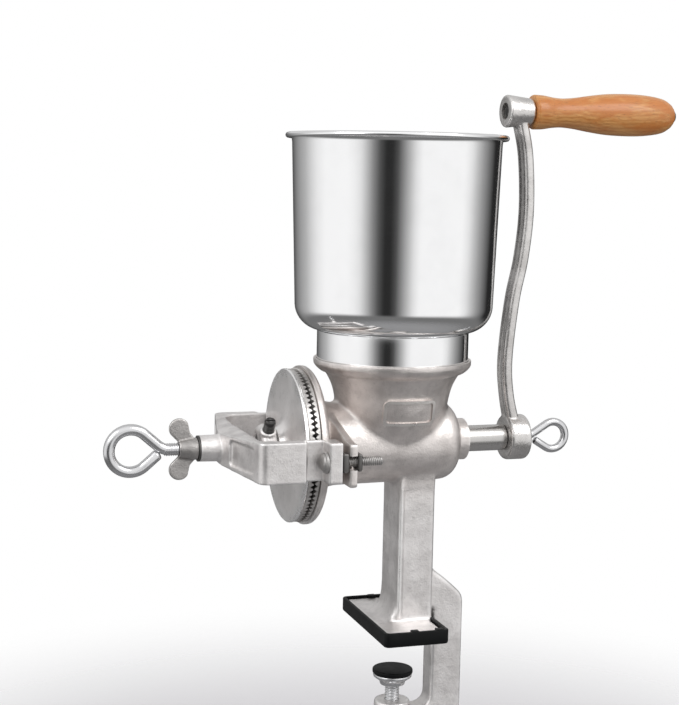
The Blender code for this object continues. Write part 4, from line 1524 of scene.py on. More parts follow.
# ---- burrs and auger
@dataclass
class BurrSet:
    """The two toothed discs, the carrier, its drive collar and the set screw."""

    radius: float = 0.0510
    fixed_x: Point = (-0.0680, -0.0646)
    moving_x: Point = (-0.0721, -0.0686)
    tooth_depth: float = 0.0019
    tooth_count: int = 84
    tooth_inner: float = 0.0300
    carrier_radius: float = 0.0513
    carrier_x: Point = (-0.0745, -0.0724)
    collar_radius: float = 0.0150
    collar_x: Point = (-0.0940, -0.0832)
    square_side: float = 0.0124
    screw_radius: float = 0.0038
    screw_reach: Point = (0.0065, 0.0245)
    collar_grain: float = 0.0006
    screw_lean: float = SCREW_LEAN
    crease: float = 25.0                   # degrees; gentler edges are shaded smooth

    def build(self, bench: Bench, teeth: ToothRecipe, threads: ThreadRecipe) -> None:
        """Make the five pieces and hand them over.

        Args:
            bench: takes the finished pieces.
            teeth: presses the teeth.
            threads: makes the threaded rods.
        """
        fixed = self._disc(teeth, "fixed_disc", self.fixed_x, -1, self.radius + 0.0004, 0.0225)
        bench.deliver("fixed_disc", fixed, "burr", "frame", "fixed_burr", self.crease)
        moving = self._disc(teeth, "moving_disc", self.moving_x, 1, self.radius, 0.0125)
        bench.deliver("moving_disc", moving, "burr", "burr_drive", "rotating_burr", self.crease)
        bench.deliver("carrier_disc", self._carrier(), "smooth_casting", "burr_drive", "burr_carrier")
        bench.deliver("squared_collar", self._collar(), "casting", "burr_drive", "drive_collar")
        bench.deliver("collar_screw", self._set_screw(threads), "blackened", "burr_drive", "collar_set_screw")

    def _disc(self, teeth: ToothRecipe, name: str, span: Point, side: int, rim: float,
              hole: float) -> Mesh:
        """A turned disc with radial teeth on one face.

        Args:
            teeth: the recipe that presses the teeth.
            name: the mesh's name.
            span: the disc's two faces along X.
            side: the toothed face's direction along X.
            rim: the disc's radius.
            hole: the hole's radius.

        Returns:
            The toothed mesh.
        """
        face, back = (span[0], span[1]) if side < 0 else (span[1], span[0])
        inward = -side
        radii = [rim - (rim - 0.0300) * k / 7 for k in range(8)]
        profile = [(radius, face) for radius in radii]
        profile += [(0.0265, face + inward * 0.0009), (hole + 0.0012, face + inward * 0.0016),
                    (hole, face + inward * 0.0020), (hole, back), (rim - 0.0003, back),
                    (rim, back + side * 0.0003), (rim, (face + back) / 2)]
        blank = turned(name, profile, self.tooth_count * 4, Axis.X, closed=True)
        mesh = teeth.make(name, {"Tooth Count": float(self.tooth_count), "Depth": self.tooth_depth,
                                 "Face Side": float(side), "Face Place": face,
                                 "Inner Radius": self.tooth_inner, "Rim Radius": rim, "Lean": 3.0 * side},
                          blank)
        return outwards(mesh)

    def _carrier(self) -> Mesh:
        """The turning disc with its flared boss and squared hole.

        Returns:
            The mesh.
        """
        face, back = self.carrier_x
        rim = self.carrier_radius
        profile = [(0.0, back), (rim - 0.0003, back), (rim, back - 0.0004), (rim, face + 0.0007),
                   (rim - 0.0006, face), (0.0440, face + 0.0001), (0.0300, face - 0.0002),
                   (0.0240, face - 0.0005), (0.0200, face - 0.0010), (0.0170, face - 0.0018),
                   (0.0148, face - 0.0030), (0.0134, face - 0.0044), (0.0126, face - 0.0056),
                   (0.0122, -0.0808), (0.0116, -0.0815), (0.0, -0.0815)]
        disc = turned("carrier", profile, FINE, Axis.X)
        return carved("carrier", disc, [self._square(-0.0900, -0.0650)])

    def _square(self, low: float, high: float) -> Mesh:
        """The squared hole's cutter, turned so that a flat faces the set screw.

        Args:
            low: the lower place.
            high: the upper place.

        Returns:
            The mesh.
        """
        half = self.square_side / 2 + GAP
        return moved(block("square", (low, -half, -half), (high, half, half), 0.0),
                     Matrix.Rotation(self.screw_lean, 4, "X"))

    def _radial(self, mesh: Mesh) -> Mesh:
        """Turn a mesh built along +X onto the set screw's line.

        Args:
            mesh: the mesh, built along +X.

        Returns:
            The mesh.
        """
        middle = sum(self.collar_x) / 2
        upright = Matrix.Rotation(-math.pi / 2, 4, "Y")
        lean = Matrix.Rotation(self.screw_lean, 4, "X")
        return moved(mesh, Matrix.Translation((middle, 0.0, 0.0)) @ lean @ upright)

    def _collar(self) -> Mesh:
        """The rough collar on the squared shaft end, with a swelling round its tapped hole.

        Returns:
            The mesh.
        """
        low, high = self.collar_x
        radius = self.collar_radius - 0.0002
        profile = softened([(0.0, high), (radius - 0.0012, high), (radius, high - 0.0022),
                            (radius, low + 0.0028), (radius - 0.0030, low), (0.0, low)], 0.0014)
        ring = turned("collar", profile, ROUND, Axis.X)
        swelling = self._radial(turned("swelling", [(0.0, 0.004), (0.0058, 0.004), (0.0056, 0.0146),
                                                    (0.0046, 0.0156), (0.0, 0.0156)], SMALL, Axis.X))
        skin = fused("collar", [ring, swelling], self.collar_grain, 4)
        tapping = self._radial(cylinder("tapping", self.screw_radius + GAP, 0.0, 0.0200))
        return carved("squared_collar", skin, [self._square(low - 0.002, high + 0.002), tapping])

    def _set_screw(self, threads: ThreadRecipe) -> Mesh:
        """The threaded set screw with a slotted head.

        Args:
            threads: makes the threaded rods.

        Returns:
            The mesh.
        """
        start, stop = self.screw_reach
        rod = threads.rod("set_screw", (start, stop - 0.0016), self.screw_radius, self.screw_radius - 0.0007,
                          0.0015)
        profile = softened([(0.0, stop), (0.0029, stop), (0.0036, stop - 0.0008), (0.0036, stop - 0.0030),
                            (0.0, stop - 0.0030)], 0.0004)
        head = turned("head", profile, SMALL, Axis.X)
        notch = block("notch", (stop - 0.0011, -0.0005, -0.0050), (stop + 0.001, 0.0005, 0.0050), 0.0)
        return self._radial(together("set_screw", [rod, carved("head", head, [notch])]))


@dataclass
class Auger:
    """Shaft and worm in one, with squared ends."""

    journal_radius: float = 0.0090
    journal_x: Point = (-0.0620, 0.0835)
    square_side: float = 0.0124
    front_x: Point = (-0.0920, -0.0610)
    rear_x: Point = (0.0800, 0.0968)
    flight_x: Point = (-0.0545, 0.0290)
    flight_radius: float = 0.0198
    flight_pitch: float = 0.0230
    flight_thick: float = 0.0034
    front_lean: float = SCREW_LEAN
    thread_radius: float = 0.00305

    def build(self, bench: Bench) -> None:
        """Make the auger and hand it over.

        Args:
            bench: takes the finished pieces.
        """
        low, high = self.journal_x
        journal = cylinder("journal", self.journal_radius, high, low, ROUND, soft=0.0008)
        half = self.square_side / 2
        front = moved(block("front", (self.front_x[0], -half, -half), (self.front_x[1], half, half), 0.0004),
                      Matrix.Rotation(self.front_lean, 4, "X"))
        rear = block("rear", (self.rear_x[0], -half, -half), (self.rear_x[1], half, half), 0.0004)
        shaft = carved("auger", journal, [front, rear, self._flight()], "UNION")
        seat = turned("seat", [(0.0, -0.0885), (0.0046, -0.0930), (0.0, -0.0930)], SMALL, Axis.X)
        tapped = cylinder("tapped", self.thread_radius, 0.0745, 0.0990)
        worm = carved("worm_shaft", shaft, [seat, tapped])
        bench.deliver("worm_shaft", worm, "machined", "burr_drive", "auger")

    def _flight(self) -> Mesh:
        """The helical flight: a tapered section swept along the shaft.

        Returns:
            The mesh.
        """
        start, stop = self.flight_x
        turns = (stop - start - self.flight_thick) / self.flight_pitch
        steps = round(turns * 40)
        section = softened([(0.0070, 0.0), (self.flight_radius, 0.0006),
                            (self.flight_radius, self.flight_thick - 0.0006), (0.0070, self.flight_thick)],
                           0.0007, 2, cyclic=True)
        rings: list[Ring] = []
        for k in range(steps + 1):
            angle = 2 * math.pi * turns * k / steps
            along = start + turns * self.flight_pitch * k / steps
            rings.append([Vector((along + x, r * math.cos(angle), r * math.sin(angle))) for r, x in section])
        return loft("flight", rings)


# ---- yoke and adjuster
@dataclass
class Yoke:
    """The cast stirrup in front of the burrs, with its two bolts and their nuts."""

    inner_y: float = 0.0545
    outer_y: float = 0.0640
    flange_y: float = 0.0710
    half_height: float = 0.0132
    bridge_x: float = -0.1045
    elbow_x: float = -0.1092
    flange_x: Point = (-0.0654, -0.0566)
    boss_x: float = -0.1330
    boss_radius: float = 0.0104
    thread_radius: float = 0.0045
    bolt_y: float = 0.0650
    bolt_radius: float = 0.0030
    tail_x: float = -0.0285
    lug_x: Point = (-0.0522, -0.0466)
    grain: float = 0.00075

    def build(self, bench: Bench, threads: ThreadRecipe) -> None:
        """Make the yoke, the bolts and the nuts and hand them over.

        Args:
            bench: takes the finished pieces.
            threads: makes the threaded rods.
        """
        bench.deliver("stirrup", self._stirrup(), "casting", "frame", "yoke")
        for side, end in ((-1, "near"), (1, "far")):
            bench.deliver("clevis_bolt_" + end, self._bolt(side, threads), "worn_steel", "frame",
                          "yoke_bolt_" + end)
            spacer = self._nut(side, (self.flange_x[1] + GAP, self.lug_x[0] - GAP), 0.0120)
            bench.deliver("spacer_nut_" + end, spacer, "blackened", "frame", "yoke_spacer_nut_" + end)
            lock = self._nut(side, (self.lug_x[1] + GAP, self.lug_x[1] + GAP + 0.0028), 0.0110)
            bench.deliver("lock_nut_" + end, lock, "blackened", "frame", "yoke_lock_nut_" + end)

    def _outline(self) -> list[Point]:
        """The stirrup from above: a thick V bridge, two arms and their bolt flanges.

        Returns:
            The points in order.
        """
        outer, flange = self.outer_y, self.flange_y
        elbow = arc((self.elbow_x + 0.0062, outer - 0.0058), 0.0058, 160, 95, 4)
        half = [(-0.1200, 0.0), (-0.1192, 0.0090), *elbow, (-0.0785, outer), (-0.0770, 0.0575),
                (self.flange_x[0], 0.0575), (self.flange_x[0], flange), (self.flange_x[1], flange),
                (self.flange_x[1], self.inner_y)]
        half += arc((self.bridge_x + 0.0095, self.inner_y - 0.0095), 0.0095, 90, 180, 6)
        half += [(self.bridge_x, 0.0)]
        return half + [(x, -y) for x, y in half[-2:0:-1]]

    def _stirrup(self) -> Mesh:
        """The stirrup casting with its recessed panels, bored boss and bolt holes.

        Returns:
            The mesh.
        """
        frame = slab("stirrup", self._outline(), -self.half_height, self.half_height, Plane.XY)
        for vertex in frame.vertices:
            if vertex.co.x < self.elbow_x + 0.008:
                share = min(1.0, abs(vertex.co.y) / self.outer_y)
                vertex.co.z *= 0.78 + 0.22 * share
        frame = carved("stirrup", frame, [self._panel(-1), self._panel(1)])
        end = self.boss_x - 0.0012
        boss = turned("boss", [(0.0, -0.1060), (self.boss_radius, -0.1060), (self.boss_radius, -0.1184),
                               (0.0089, -0.1200), (0.0086, end), (0.0, end)], ROUND, Axis.X)
        skin = fused("stirrup", [frame, boss], self.grain, 3)
        thread = cylinder("thread", self.thread_radius, -0.1000, self.boss_x - 0.004)
        trim = block("trim", (self.boss_x - 0.006, -0.012, -0.012), (self.boss_x, 0.012, 0.012), 0.0)
        holes = [self._hole(side, self.flange_x[0] - 0.003, self.flange_x[1] + 0.003) for side in (-1, 1)]
        return carved("stirrup", skin, [together("holes", holes), thread, trim])

    def _panel(self, side: int) -> Mesh:
        """The cutter of one outer face's recessed panel.

        Args:
            side: -1 or 1 along Y.

        Returns:
            The mesh.
        """
        lean = math.atan2(0.0100, 0.0520) * side
        outline = rounded_rectangle((0.0175, 0.0084), 0.0025, 4)
        cutter = slab("panel", outline, -0.0016, 0.0016, Plane.YZ)
        place = Matrix.Translation((-0.1135, side * 0.0360, 0.0))
        return moved(cutter, place @ Matrix.Rotation(-lean, 4, "Z"))

    def _hole(self, side: int, low: float, high: float) -> Mesh:
        """A bolt hole's cutter between two places along X."""
        return cylinder("hole", self.bolt_radius + GAP, low, high, centre=(0.0, side * self.bolt_y, 0.0))

    def _bolt(self, side: int, threads: ThreadRecipe) -> Mesh:
        """A round-headed bolt with a stepped dome and a threaded tail.

        Args:
            side: -1 or 1 along Y.
            threads: makes the threaded rods.

        Returns:
            The mesh.
        """
        head = self.flange_x[0] - GAP
        profile = softened([(0.0, head - 0.0040), (0.0034, head - 0.0037), (0.0052, head - 0.0028),
                            (0.0056, head - 0.0018), (0.0068, head - 0.0016), (0.0070, head),
                            (self.bolt_radius, head), (self.bolt_radius, self.lug_x[0]),
                            (0.0, self.lug_x[0])], 0.0004)
        shank = turned("head", profile, ROUND, Axis.X)
        tail = threads.rod("tail", (self.lug_x[0] - 0.002, self.tail_x), self.bolt_radius,
                           self.bolt_radius - 0.0006, 0.00125)
        return moved(together("bolt", [shank, tail]), Matrix.Translation((0.0, side * self.bolt_y, 0.0)))

    def _nut(self, side: int, span: Point, across: float) -> Mesh:
        """A square nut with chamfered corners.

        Args:
            side: -1 or 1 along Y.
            span: its two faces along X.
            across: its width over the flats.

        Returns:
            The mesh.
        """
        half, middle = across / 2, side * self.bolt_y
        nut = block("nut", (span[0], middle - half, -half), (span[1], middle + half, half), 0.0006)
        corners = turned("corners", [(0.0, span[0] - 0.001), (half * 1.18, span[0] - 0.001),
                                     (half * 1.18, span[0]), (half * 1.34, span[0] + 0.0008),
                                     (half * 1.34, span[1] - 0.0008), (half * 1.18, span[1]),
                                     (half * 1.18, span[1] + 0.001), (0.0, span[1] + 0.001)],
                         ROUND, Axis.X, (0.0, middle, 0.0))
        nut = carved("nut", nut, [corners], "INTERSECT")
        return carved("nut", nut, [self._hole(side, span[0] - 0.002, span[1] + 0.002)])


@dataclass
class Adjuster:
    """The eye screw that sets the burrs, its wing nut and washer, and the thrust ball."""

    ball_x: float = -0.0945
    ball_radius: float = 0.0039
    thread_radius: float = 0.0042
    neck_x: float = -0.1570
    eye_x: float = -0.1782
    eye_radius: float = 0.0139
    rod_radius: float = 0.0037
    boss_x: float = -0.1330
    washer: float = 0.0010
    pitch: float = 0.0015
    lobe_x: float = -0.1462
    lobe_z: float = 0.0136
    lobe_radius: float = 0.0068
    wing_half: float = 0.0014
    wing_grain: float = 0.0005

    def build(self, bench: Bench, threads: ThreadRecipe) -> None:
        """Make the four pieces and hand them over.

        Args:
            bench: takes the finished pieces.
            threads: makes the threaded rods.
        """
        bench.deliver("adjusting_eye", self._screw(threads), "plated", "adjuster", "adjusting_screw")
        bench.deliver("winged_nut", self._wing_nut(), "rough_casting", "adjuster_nut", "wing_nut")
        bench.deliver("thin_washer", self._washer(), "blackened", "adjuster_washer", "lock_washer")
        ball = turned("ball", [(self.ball_radius * math.sin(math.pi * k / 20),
                                self.ball_radius * math.cos(math.pi * k / 20)) for k in range(21)],
                      SMALL, Axis.X, (self.ball_x, 0.0, 0.0))
        bench.deliver("bearing_ball", ball, "plated", "thrust", "thrust_ball")

    def _screw(self, threads: ThreadRecipe) -> Mesh:
        """The bent rod and its threaded length.

        Args:
            threads: makes the threaded rods.

        Returns:
            The mesh.
        """
        tip = self.ball_x - self.ball_radius - GAP
        route = EyeRoute(tip - 0.010, self.neck_x, self.eye_x, self.eye_radius, 0.0108)
        rod = bent_rod("rod", route.points(), self.rod_radius)
        thread = threads.rod("thread", (self.neck_x, tip), self.thread_radius, self.thread_radius - 0.0008,
                             self.pitch)
        return together("adjusting_eye", [rod, thread])

    def _wing_nut(self) -> Mesh:
        """The cast nut with two swept-back wings.

        Returns:
            The mesh.
        """
        face = self.boss_x - 2 * GAP - self.washer
        hub = turned("hub", [(0.0, face + 0.0008), (0.0072, face + 0.0008), (0.0071, face - 0.0040),
                             (0.0058, face - 0.0120), (0.0, face - 0.0120)], ROUND, Axis.X)
        lobe = arc((self.lobe_x, self.lobe_z), self.lobe_radius, 35, 215, 14)
        wing = [(face - 0.0004, 0.0030), (face - 0.0010, 0.0066), (face - 0.0046, 0.0108), *lobe,
                (face - 0.0115, 0.0040)]
        wings = [slab("wing", [(x, side * z) for x, z in wing], -self.wing_half, self.wing_half, Plane.XZ)
                 for side in (1, -1)]
        skin = fused("winged_nut", [hub, *wings], self.wing_grain, 5)
        trim = block("trim", (face, -0.010, -0.010), (face + 0.005, 0.010, 0.010), 0.0)
        bore = cylinder("bore", self.thread_radius + GAP, face - 0.016, face + 0.004)
        return carved("winged_nut", skin, [trim, bore])

    def _washer(self) -> Mesh:
        """The thin dark washer under the wing nut."""
        high = self.boss_x - GAP
        return ring_washer("washer", 0.0086, self.thread_radius + GAP, (high - self.washer, high))


def ring_washer(name: str, radius: float, hole: float, span: Point) -> Mesh:
    """A flat washer about X with softened rims.

    Args:
        name: the mesh's name.
        radius: its radius.
        hole: its hole's radius.
        span: its two faces along X.

    Returns:
        The mesh.
    """
    low, high = span
    corners = [(radius, high), (radius, low), (hole, low), (hole, high)]
    return turned(name, softened(corners, 0.0002, 2, cyclic=True), ROUND, Axis.X, closed=True)


# ---- crank
@dataclass
class Crank:
    """The S-shaped cast arm, the eye screw that holds it, and the turned grip."""

    radius: float = 0.2249
    hub_x: Point = (0.0838, 0.0995)
    hub_radius: float = 0.0157
    top_x: Point = (0.0776, 0.0967)
    half_y: float = 0.0068
    half_x: float = 0.0042
    square_side: float = 0.0124
    spindle_radius: float = 0.0030
    grip_x: Point = (0.0973, 0.2058)
    eye_neck_x: float = 0.1035
    eye_x: float = 0.1216
    eye_radius: float = 0.0096
    eye_rod: float = 0.00275
    washer: float = 0.0010
    grain: float = 0.00066
    spine: tuple[Point, ...] = ((0.0905, 0.0060), (0.0850, 0.0310), (0.0833, 0.0560), (0.0872, 0.0960),
                                (0.0928, 0.1250), (0.0957, 0.1580), (0.0938, 0.1950), (0.0885, 0.2200))
    stations: tuple[Point, ...] = ((0.0015, 0.0118), (0.0080, 0.0115), (0.0150, 0.0104), (0.0225, 0.0099),
                                   (0.0320, 0.0107), (0.0430, 0.0124), (0.0560, 0.0140), (0.0690, 0.01455),
                                   (0.0810, 0.0144), (0.0920, 0.0134), (0.1000, 0.0117), (0.1052, 0.0088))

    def build(self, bench: Bench) -> None:
        """Make the five pieces and hand them over.

        Args:
            bench: takes the finished pieces.
        """
        bench.deliver("swept_arm", self._arm(), "arm_casting", "burr_drive", "crank_arm")
        bench.deliver("turned_grip", self._grip(), "wood", "grip", "crank_grip")
        bench.deliver("riveted_spindle", self._spindle(), "blackened", "burr_drive", "grip_spindle")
        face = self.hub_x[1] + GAP
        washer = ring_washer("hub_washer", 0.0072, self.eye_rod + GAP, (face, face + self.washer))
        bench.deliver("hub_washer", washer, "blackened", "crank_lock_washer", "crank_washer")
        route = EyeRoute(0.0785, self.eye_neck_x, self.eye_x, self.eye_radius, 0.0092)
        bench.deliver("crank_eye_bolt", bent_rod("crank_eye", route.points(), self.eye_rod), "plated",
                      "crank_eye", "crank_eye_screw")

    def _section(self, grow: float) -> list[Point]:
        """The arm's cross-section: a soft bar with a shallow channel along its inner face.

        Args:
            grow: its size over the plain size.

        Returns:
            The points in order.
        """
        points: list[Point] = []
        for k in range(36):
            angle = 2 * math.pi * k / 36
            cosine, sine = math.cos(angle), math.sin(angle)
            u = self.half_x * grow * math.copysign(abs(cosine) ** 0.62, cosine)
            v = self.half_y * grow * math.copysign(abs(sine) ** 0.72, sine)
            channel = 0.0034 * grow
            if cosine < 0.0 and abs(v) < channel:
                u += 0.0013 * (1 - (v / channel) ** 2)
            points.append((u, v))
        return points

    def _arm(self) -> Mesh:
        """The arm with its hub and its boss for the grip's spindle.

        Returns:
            The mesh.
        """
        line = smooth_path(self.spine, 12)
        rings: list[Ring] = []
        for k, (before, here, after) in enumerate(zip([line[0], *line], line, [*line[1:], line[-1]])):
            along = (after - before).normalized()
            normal = Vector((along.y, -along.x))
            share = k / (len(line) - 1)
            grow = 1.0 + 0.16 * (1 - min(1.0, share / 0.18)) ** 2
            ring = [Vector((here.x + u * normal.x, v, here.y + u * normal.y)) for u, v in self._section(grow)]
            rings.append(ring)
        bar = loft("bar", rings)
        low, high = self.hub_x
        rim = self.hub_radius
        hub = turned("hub", softened([(0.0, high), (rim, high), (rim, low), (0.0, low)], 0.0026, 5), FINE,
                     Axis.X)
        left, right = self.top_x
        profile = softened([(0.0, right), (0.0090, right), (0.01115, left + 0.0008), (0.0104, left),
                            (0.0, left)], 0.0006)
        top = turned("top", profile, ROUND, Axis.X, (0.0, 0.0, self.radius))
        skin = fused("swept_arm", [bar, hub, top], self.grain, 4)
        half = self.square_side / 2 + GAP
        square = block("square", (0.0780, -half, -half), (0.1020, half, half), 0.0)
        bore = turned("bore", [(0.0, right + 0.004), (self.spindle_radius + GAP, right + 0.004),
                               (self.spindle_radius + GAP, left + 0.0036), (0.0056, left + 0.0036),
                               (0.0060, left - 0.004), (0.0, left - 0.004)], SMALL, Axis.X,
                      (0.0, 0.0, self.radius))
        return carved("swept_arm", skin, [together("holes", [square, bore])])

    def _grip(self) -> Mesh:
        """The turned grip with a waist near the crank and a full belly.

        Returns:
            The mesh.
        """
        start, stop = self.grip_x
        curve = smooth_path([(along, radius) for along, radius in self.stations], 6)
        profile = [(0.0105, start), (0.0114, start + 0.0006)]
        profile += [(point.y, start + point.x) for point in curve]
        profile += [(0.0070, stop - 0.0016), (0.0056, stop - 0.0006), (0.0044, stop)]
        hole = self.spindle_radius + GAP
        profile += [(hole, stop), (hole, start)]
        return turned("grip", profile, 96, Axis.X, (0.0, 0.0, self.radius), closed=True)

    def _spindle(self) -> Mesh:
        """The rod that the grip turns on, with a riveted head and a cap at the tip.

        Returns:
            The mesh.
        """
        head = self.top_x[0] + 0.0036 - GAP
        tip = self.grip_x[1] + GAP
        profile = softened([(0.0, tip + 0.0016), (0.0022, tip + 0.0014), (0.0038, tip + 0.0008),
                            (0.0044, tip), (self.spindle_radius, tip), (self.spindle_radius, head),
                            (0.0047, head), (0.0045, head - 0.0016), (0.0030, head - 0.0024),
                            (0.0, head - 0.0026)], 0.0004)
        return turned("spindle", profile, SMALL, Axis.X, (0.0, 0.0, self.radius))


# ---- clamp
@dataclass
class Clamp:
    """The clamp's eye screw, its swivelling pad and the pad's rubber face."""

    axis_x: float = 0.0058
    screw_radius: float = 0.0050
    rod_radius: float = 0.0038
    neck_z: float = -0.2385
    eye_z: float = -0.2585
    eye_radius: float = 0.0130
    pad_radius: float = 0.0140
    pad_top: float = -0.1600
    cap: float = 0.0030
    pitch: float = 0.0020
    lowering: float = 0.0100                # how far the screw backs down from its place at rest

    def build(self, bench: Bench, threads: ThreadRecipe) -> None:
        """Make the three pieces and hand them over.

        Args:
            bench: takes the finished pieces.
            threads: makes the threaded rods.
        """
        bench.deliver("clamp_eye_bolt", self._screw(threads), "plated", "clamp_handle", "clamp_screw")
        bench.deliver("swivel_cup", self._pad(), "plated", "pad", "clamp_pad")
        face = cylinder("face", self.pad_radius, self.pad_top, self.pad_top - self.cap, ROUND, Axis.Z,
                        (self.axis_x, 0.0, 0.0), 0.0009)
        bench.deliver("pad_face", face, "rubber", "pad", "pad_cap")

    def _screw(self, threads: ThreadRecipe) -> Mesh:
        """The bent rod hanging in the lower jaw, with its threaded length.

        Args:
            threads: makes the threaded rods.

        Returns:
            The mesh.
        """
        top = self.pad_top - self.cap - GAP - 0.0033
        route = EyeRoute(top - 0.012, self.neck_z, self.eye_z, self.eye_radius, 0.0076)
        rod = bent_rod("rod", [(self.axis_x + across, along) for along, across in route.points()],
                       self.rod_radius)
        thread = threads.rod("thread", (self.neck_z, top), self.screw_radius, self.screw_radius - 0.0009,
                             self.pitch)
        upright = Matrix.Translation((self.axis_x, 0.0, 0.0)) @ Matrix.Rotation(-math.pi / 2, 4, "Y")
        return together("clamp_eye", [rod, moved(thread, upright)])

    def _pad(self) -> Mesh:
        """The cup that swivels on the screw's end.

        Returns:
            The mesh.
        """
        high = self.pad_top - self.cap - GAP
        socket = self.screw_radius + GAP
        rim = self.pad_radius - 0.0006
        profile = softened([(0.0, high), (rim, high), (rim, high - 0.0020), (0.0092, high - 0.0050),
                            (0.0085, high - 0.0078), (socket, high - 0.0078), (socket, high - 0.0030),
                            (0.0, high - 0.0030)], 0.0006)
        return turned("pad", profile, ROUND, centre=(self.axis_x, 0.0, 0.0))


# ---- studio
@dataclass
class Studio:
    """Floor, light and camera around the mill."""

    shaft_height: float
    azimuth: float = -18.01
    elevation: float = 6.74
    roll: float = 1.13
    camera_place: Colour = (-0.3483, -0.9559, 0.1804)
    focal_share: float = 2.1447            # focal length over the frame's longer side
    sensor: float = 36.0
    floor_z: float = -0.1455
    floor_radius: float = 0.62
    floor_paint: Colour = (0.66, 0.65, 0.67)
    # painted reflection: the floor's darker tone in glossy reflections, which darkens the hopper's lower
    # corner
    floor_painted_reflection: Colour = (0.27, 0.27, 0.275)
    world_strength: float = 1.0
    under_level: float = 0.17              # grey level of what is far below the mill
    sky_levels: Point = (0.66, 1.06)       # grey levels overhead, behind the mill and before it
    walls: tuple[Point, ...] = (           # bearing in degrees from the camera's side, and grey level
        (-180, 0.05), (-160, 0.11), (-136, 0.33), (-121, 0.47), (-108, 0.70), (-98, 0.86), (-86, 0.97),
        (-56, 0.98), (-48, 0.92), (-41, 0.80), (-34, 0.52), (-27, 0.25), (-20, 0.085), (-13, 0.022),
        (-6, 0.022), (0, 0.075), (6, 0.25), (13, 0.50), (20, 0.80), (27, 0.97), (78, 0.98), (88, 0.82),
        (97, 0.56), (107, 0.34), (119, 0.17), (133, 0.02), (180, 0.02))

    def build(self) -> None:
        """Set up the whole studio."""
        self._floor()
        self._world()
        self._lights()
        self._camera()
        bpy.context.scene.view_settings.view_transform = "Standard"

    def _floor(self) -> None:
        """A pale round floor that fades out at its rim, painted darker where glossy pieces reflect it."""
        rings = [[Vector((0.0, 0.0, self.floor_z))]]
        for share in (0.15, 0.35, 0.6, 0.8, 1.0):
            rings.append([Vector((math.cos(a) * self.floor_radius * share,
                                  math.sin(a) * self.floor_radius * share, self.floor_z))
                          for a in (2 * math.pi * k / FLOOR_SIDES for k in range(FLOOR_SIDES))])
        work = bmesh.new()
        rows = [[work.verts.new(p) for p in ring] for ring in rings]
        for low, high in zip(rows, rows[1:]):
            for k in range(FLOOR_SIDES):
                after = (k + 1) % FLOOR_SIDES
                corners = [low[k % len(low)], high[k], high[after], low[after % len(low)]]
                work.faces.new(list(dict.fromkeys(corners)))
        mesh = poured(work, bpy.data.meshes.new("studio_floor"))
        floor = new_object("studio_floor", mesh)
        tree = ShaderGraph("studio_floor")
        x, y, _ = tree.parts(tree.place)
        distance = (x * x + y * y).root()
        # painted reflection: glossy rays see the darker floor tone, while the camera sees the pale paint
        mirrored = tree.node("ShaderNodeLightPath", output="Is Glossy Ray")
        tone = tree.tint(mirrored, self.floor_paint, self.floor_painted_reflection)
        paint = tree.node("ShaderNodeBsdfDiffuse", None, {"Color": tone})
        clear = tree.node("ShaderNodeBsdfTransparent")
        fade = distance.step_between(0.20, self.floor_radius * 0.96)
        tree.node_output(tree.node("ShaderNodeMixShader", None, {0: fade, 1: paint, 2: clear}))
        mesh.materials.append(tree.material)
        floor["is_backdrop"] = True

    def _world(self) -> None:
        """A white room with a dark gap behind the camera and a dark side to the right."""
        world = bpy.data.worlds.new("studio")
        bpy.context.scene.world = world
        world.use_nodes = True
        world.node_tree.nodes.clear()
        tree = Graph(world.node_tree)
        x, y, z = tree.parts(tree.node("ShaderNodeTexCoord", output="Generated"))
        facing = math.radians(-90.0 + self.azimuth)
        forward = x * math.cos(facing) + y * math.sin(facing)
        right = x * -math.sin(facing) + y * math.cos(facing)
        bearing = right.angle_from(forward) / (2 * math.pi) + 0.5
        stops = [(degrees / 360 + 0.5, level) for degrees, level in self.walls]
        band = tree.node("ShaderNodeValToRGB", {"stops": stops}, {0: bearing})
        overhead = z.step_between(0.02, 0.32)
        below = (z * -1.0).step_between(0.26, 0.48)
        far, near = self.sky_levels
        sky = tree.tint(forward.step_between(-0.45, 0.55), (far, far, far), (near, near, near))
        wall = tree.tint(overhead, band, sky)
        room = tree.tint(below, wall, (self.under_level,) * 3)
        seen = tree.node("ShaderNodeLightPath", output="Is Camera Ray")
        shown = tree.tint(seen, room, (1.0, 1.0, 1.0))
        glow = tree.node("ShaderNodeBackground", None, {"Color": shown, "Strength": self.world_strength})
        end = tree.tree.nodes.new("ShaderNodeOutputWorld")
        tree.tree.links.new(glow.socket, end.inputs["Surface"])

    def _lights(self) -> None:
        """Two large soft lamps: a key above the right shoulder and a weak fill."""
        self._lamp("key", (0.55, -0.85, 1.05), (0.0, 0.0, 0.15), 0.70, 5.5)
        self._lamp("fill", (-0.90, -0.35, 0.75), (-0.05, 0.0, 0.12), 0.60, 2.5)

    @staticmethod
    def _lamp(name: str, place: Colour, aim: Colour, size: float, power: float) -> None:
        """Add one square lamp.

        Args:
            name: the lamp's name.
            place: where it hangs.
            aim: what it points at.
            size: its side.
            power: its power in watts.
        """
        data = bpy.data.lights.new(name, "AREA")
        data.shape = "SQUARE"
        data.size = size
        data.energy = power
        lamp = new_object(name, data)
        lamp.location = place
        lamp.rotation_euler = (Vector(aim) - Vector(place)).to_track_quat("-Z", "Y").to_euler()
        lamp.visible_camera = False

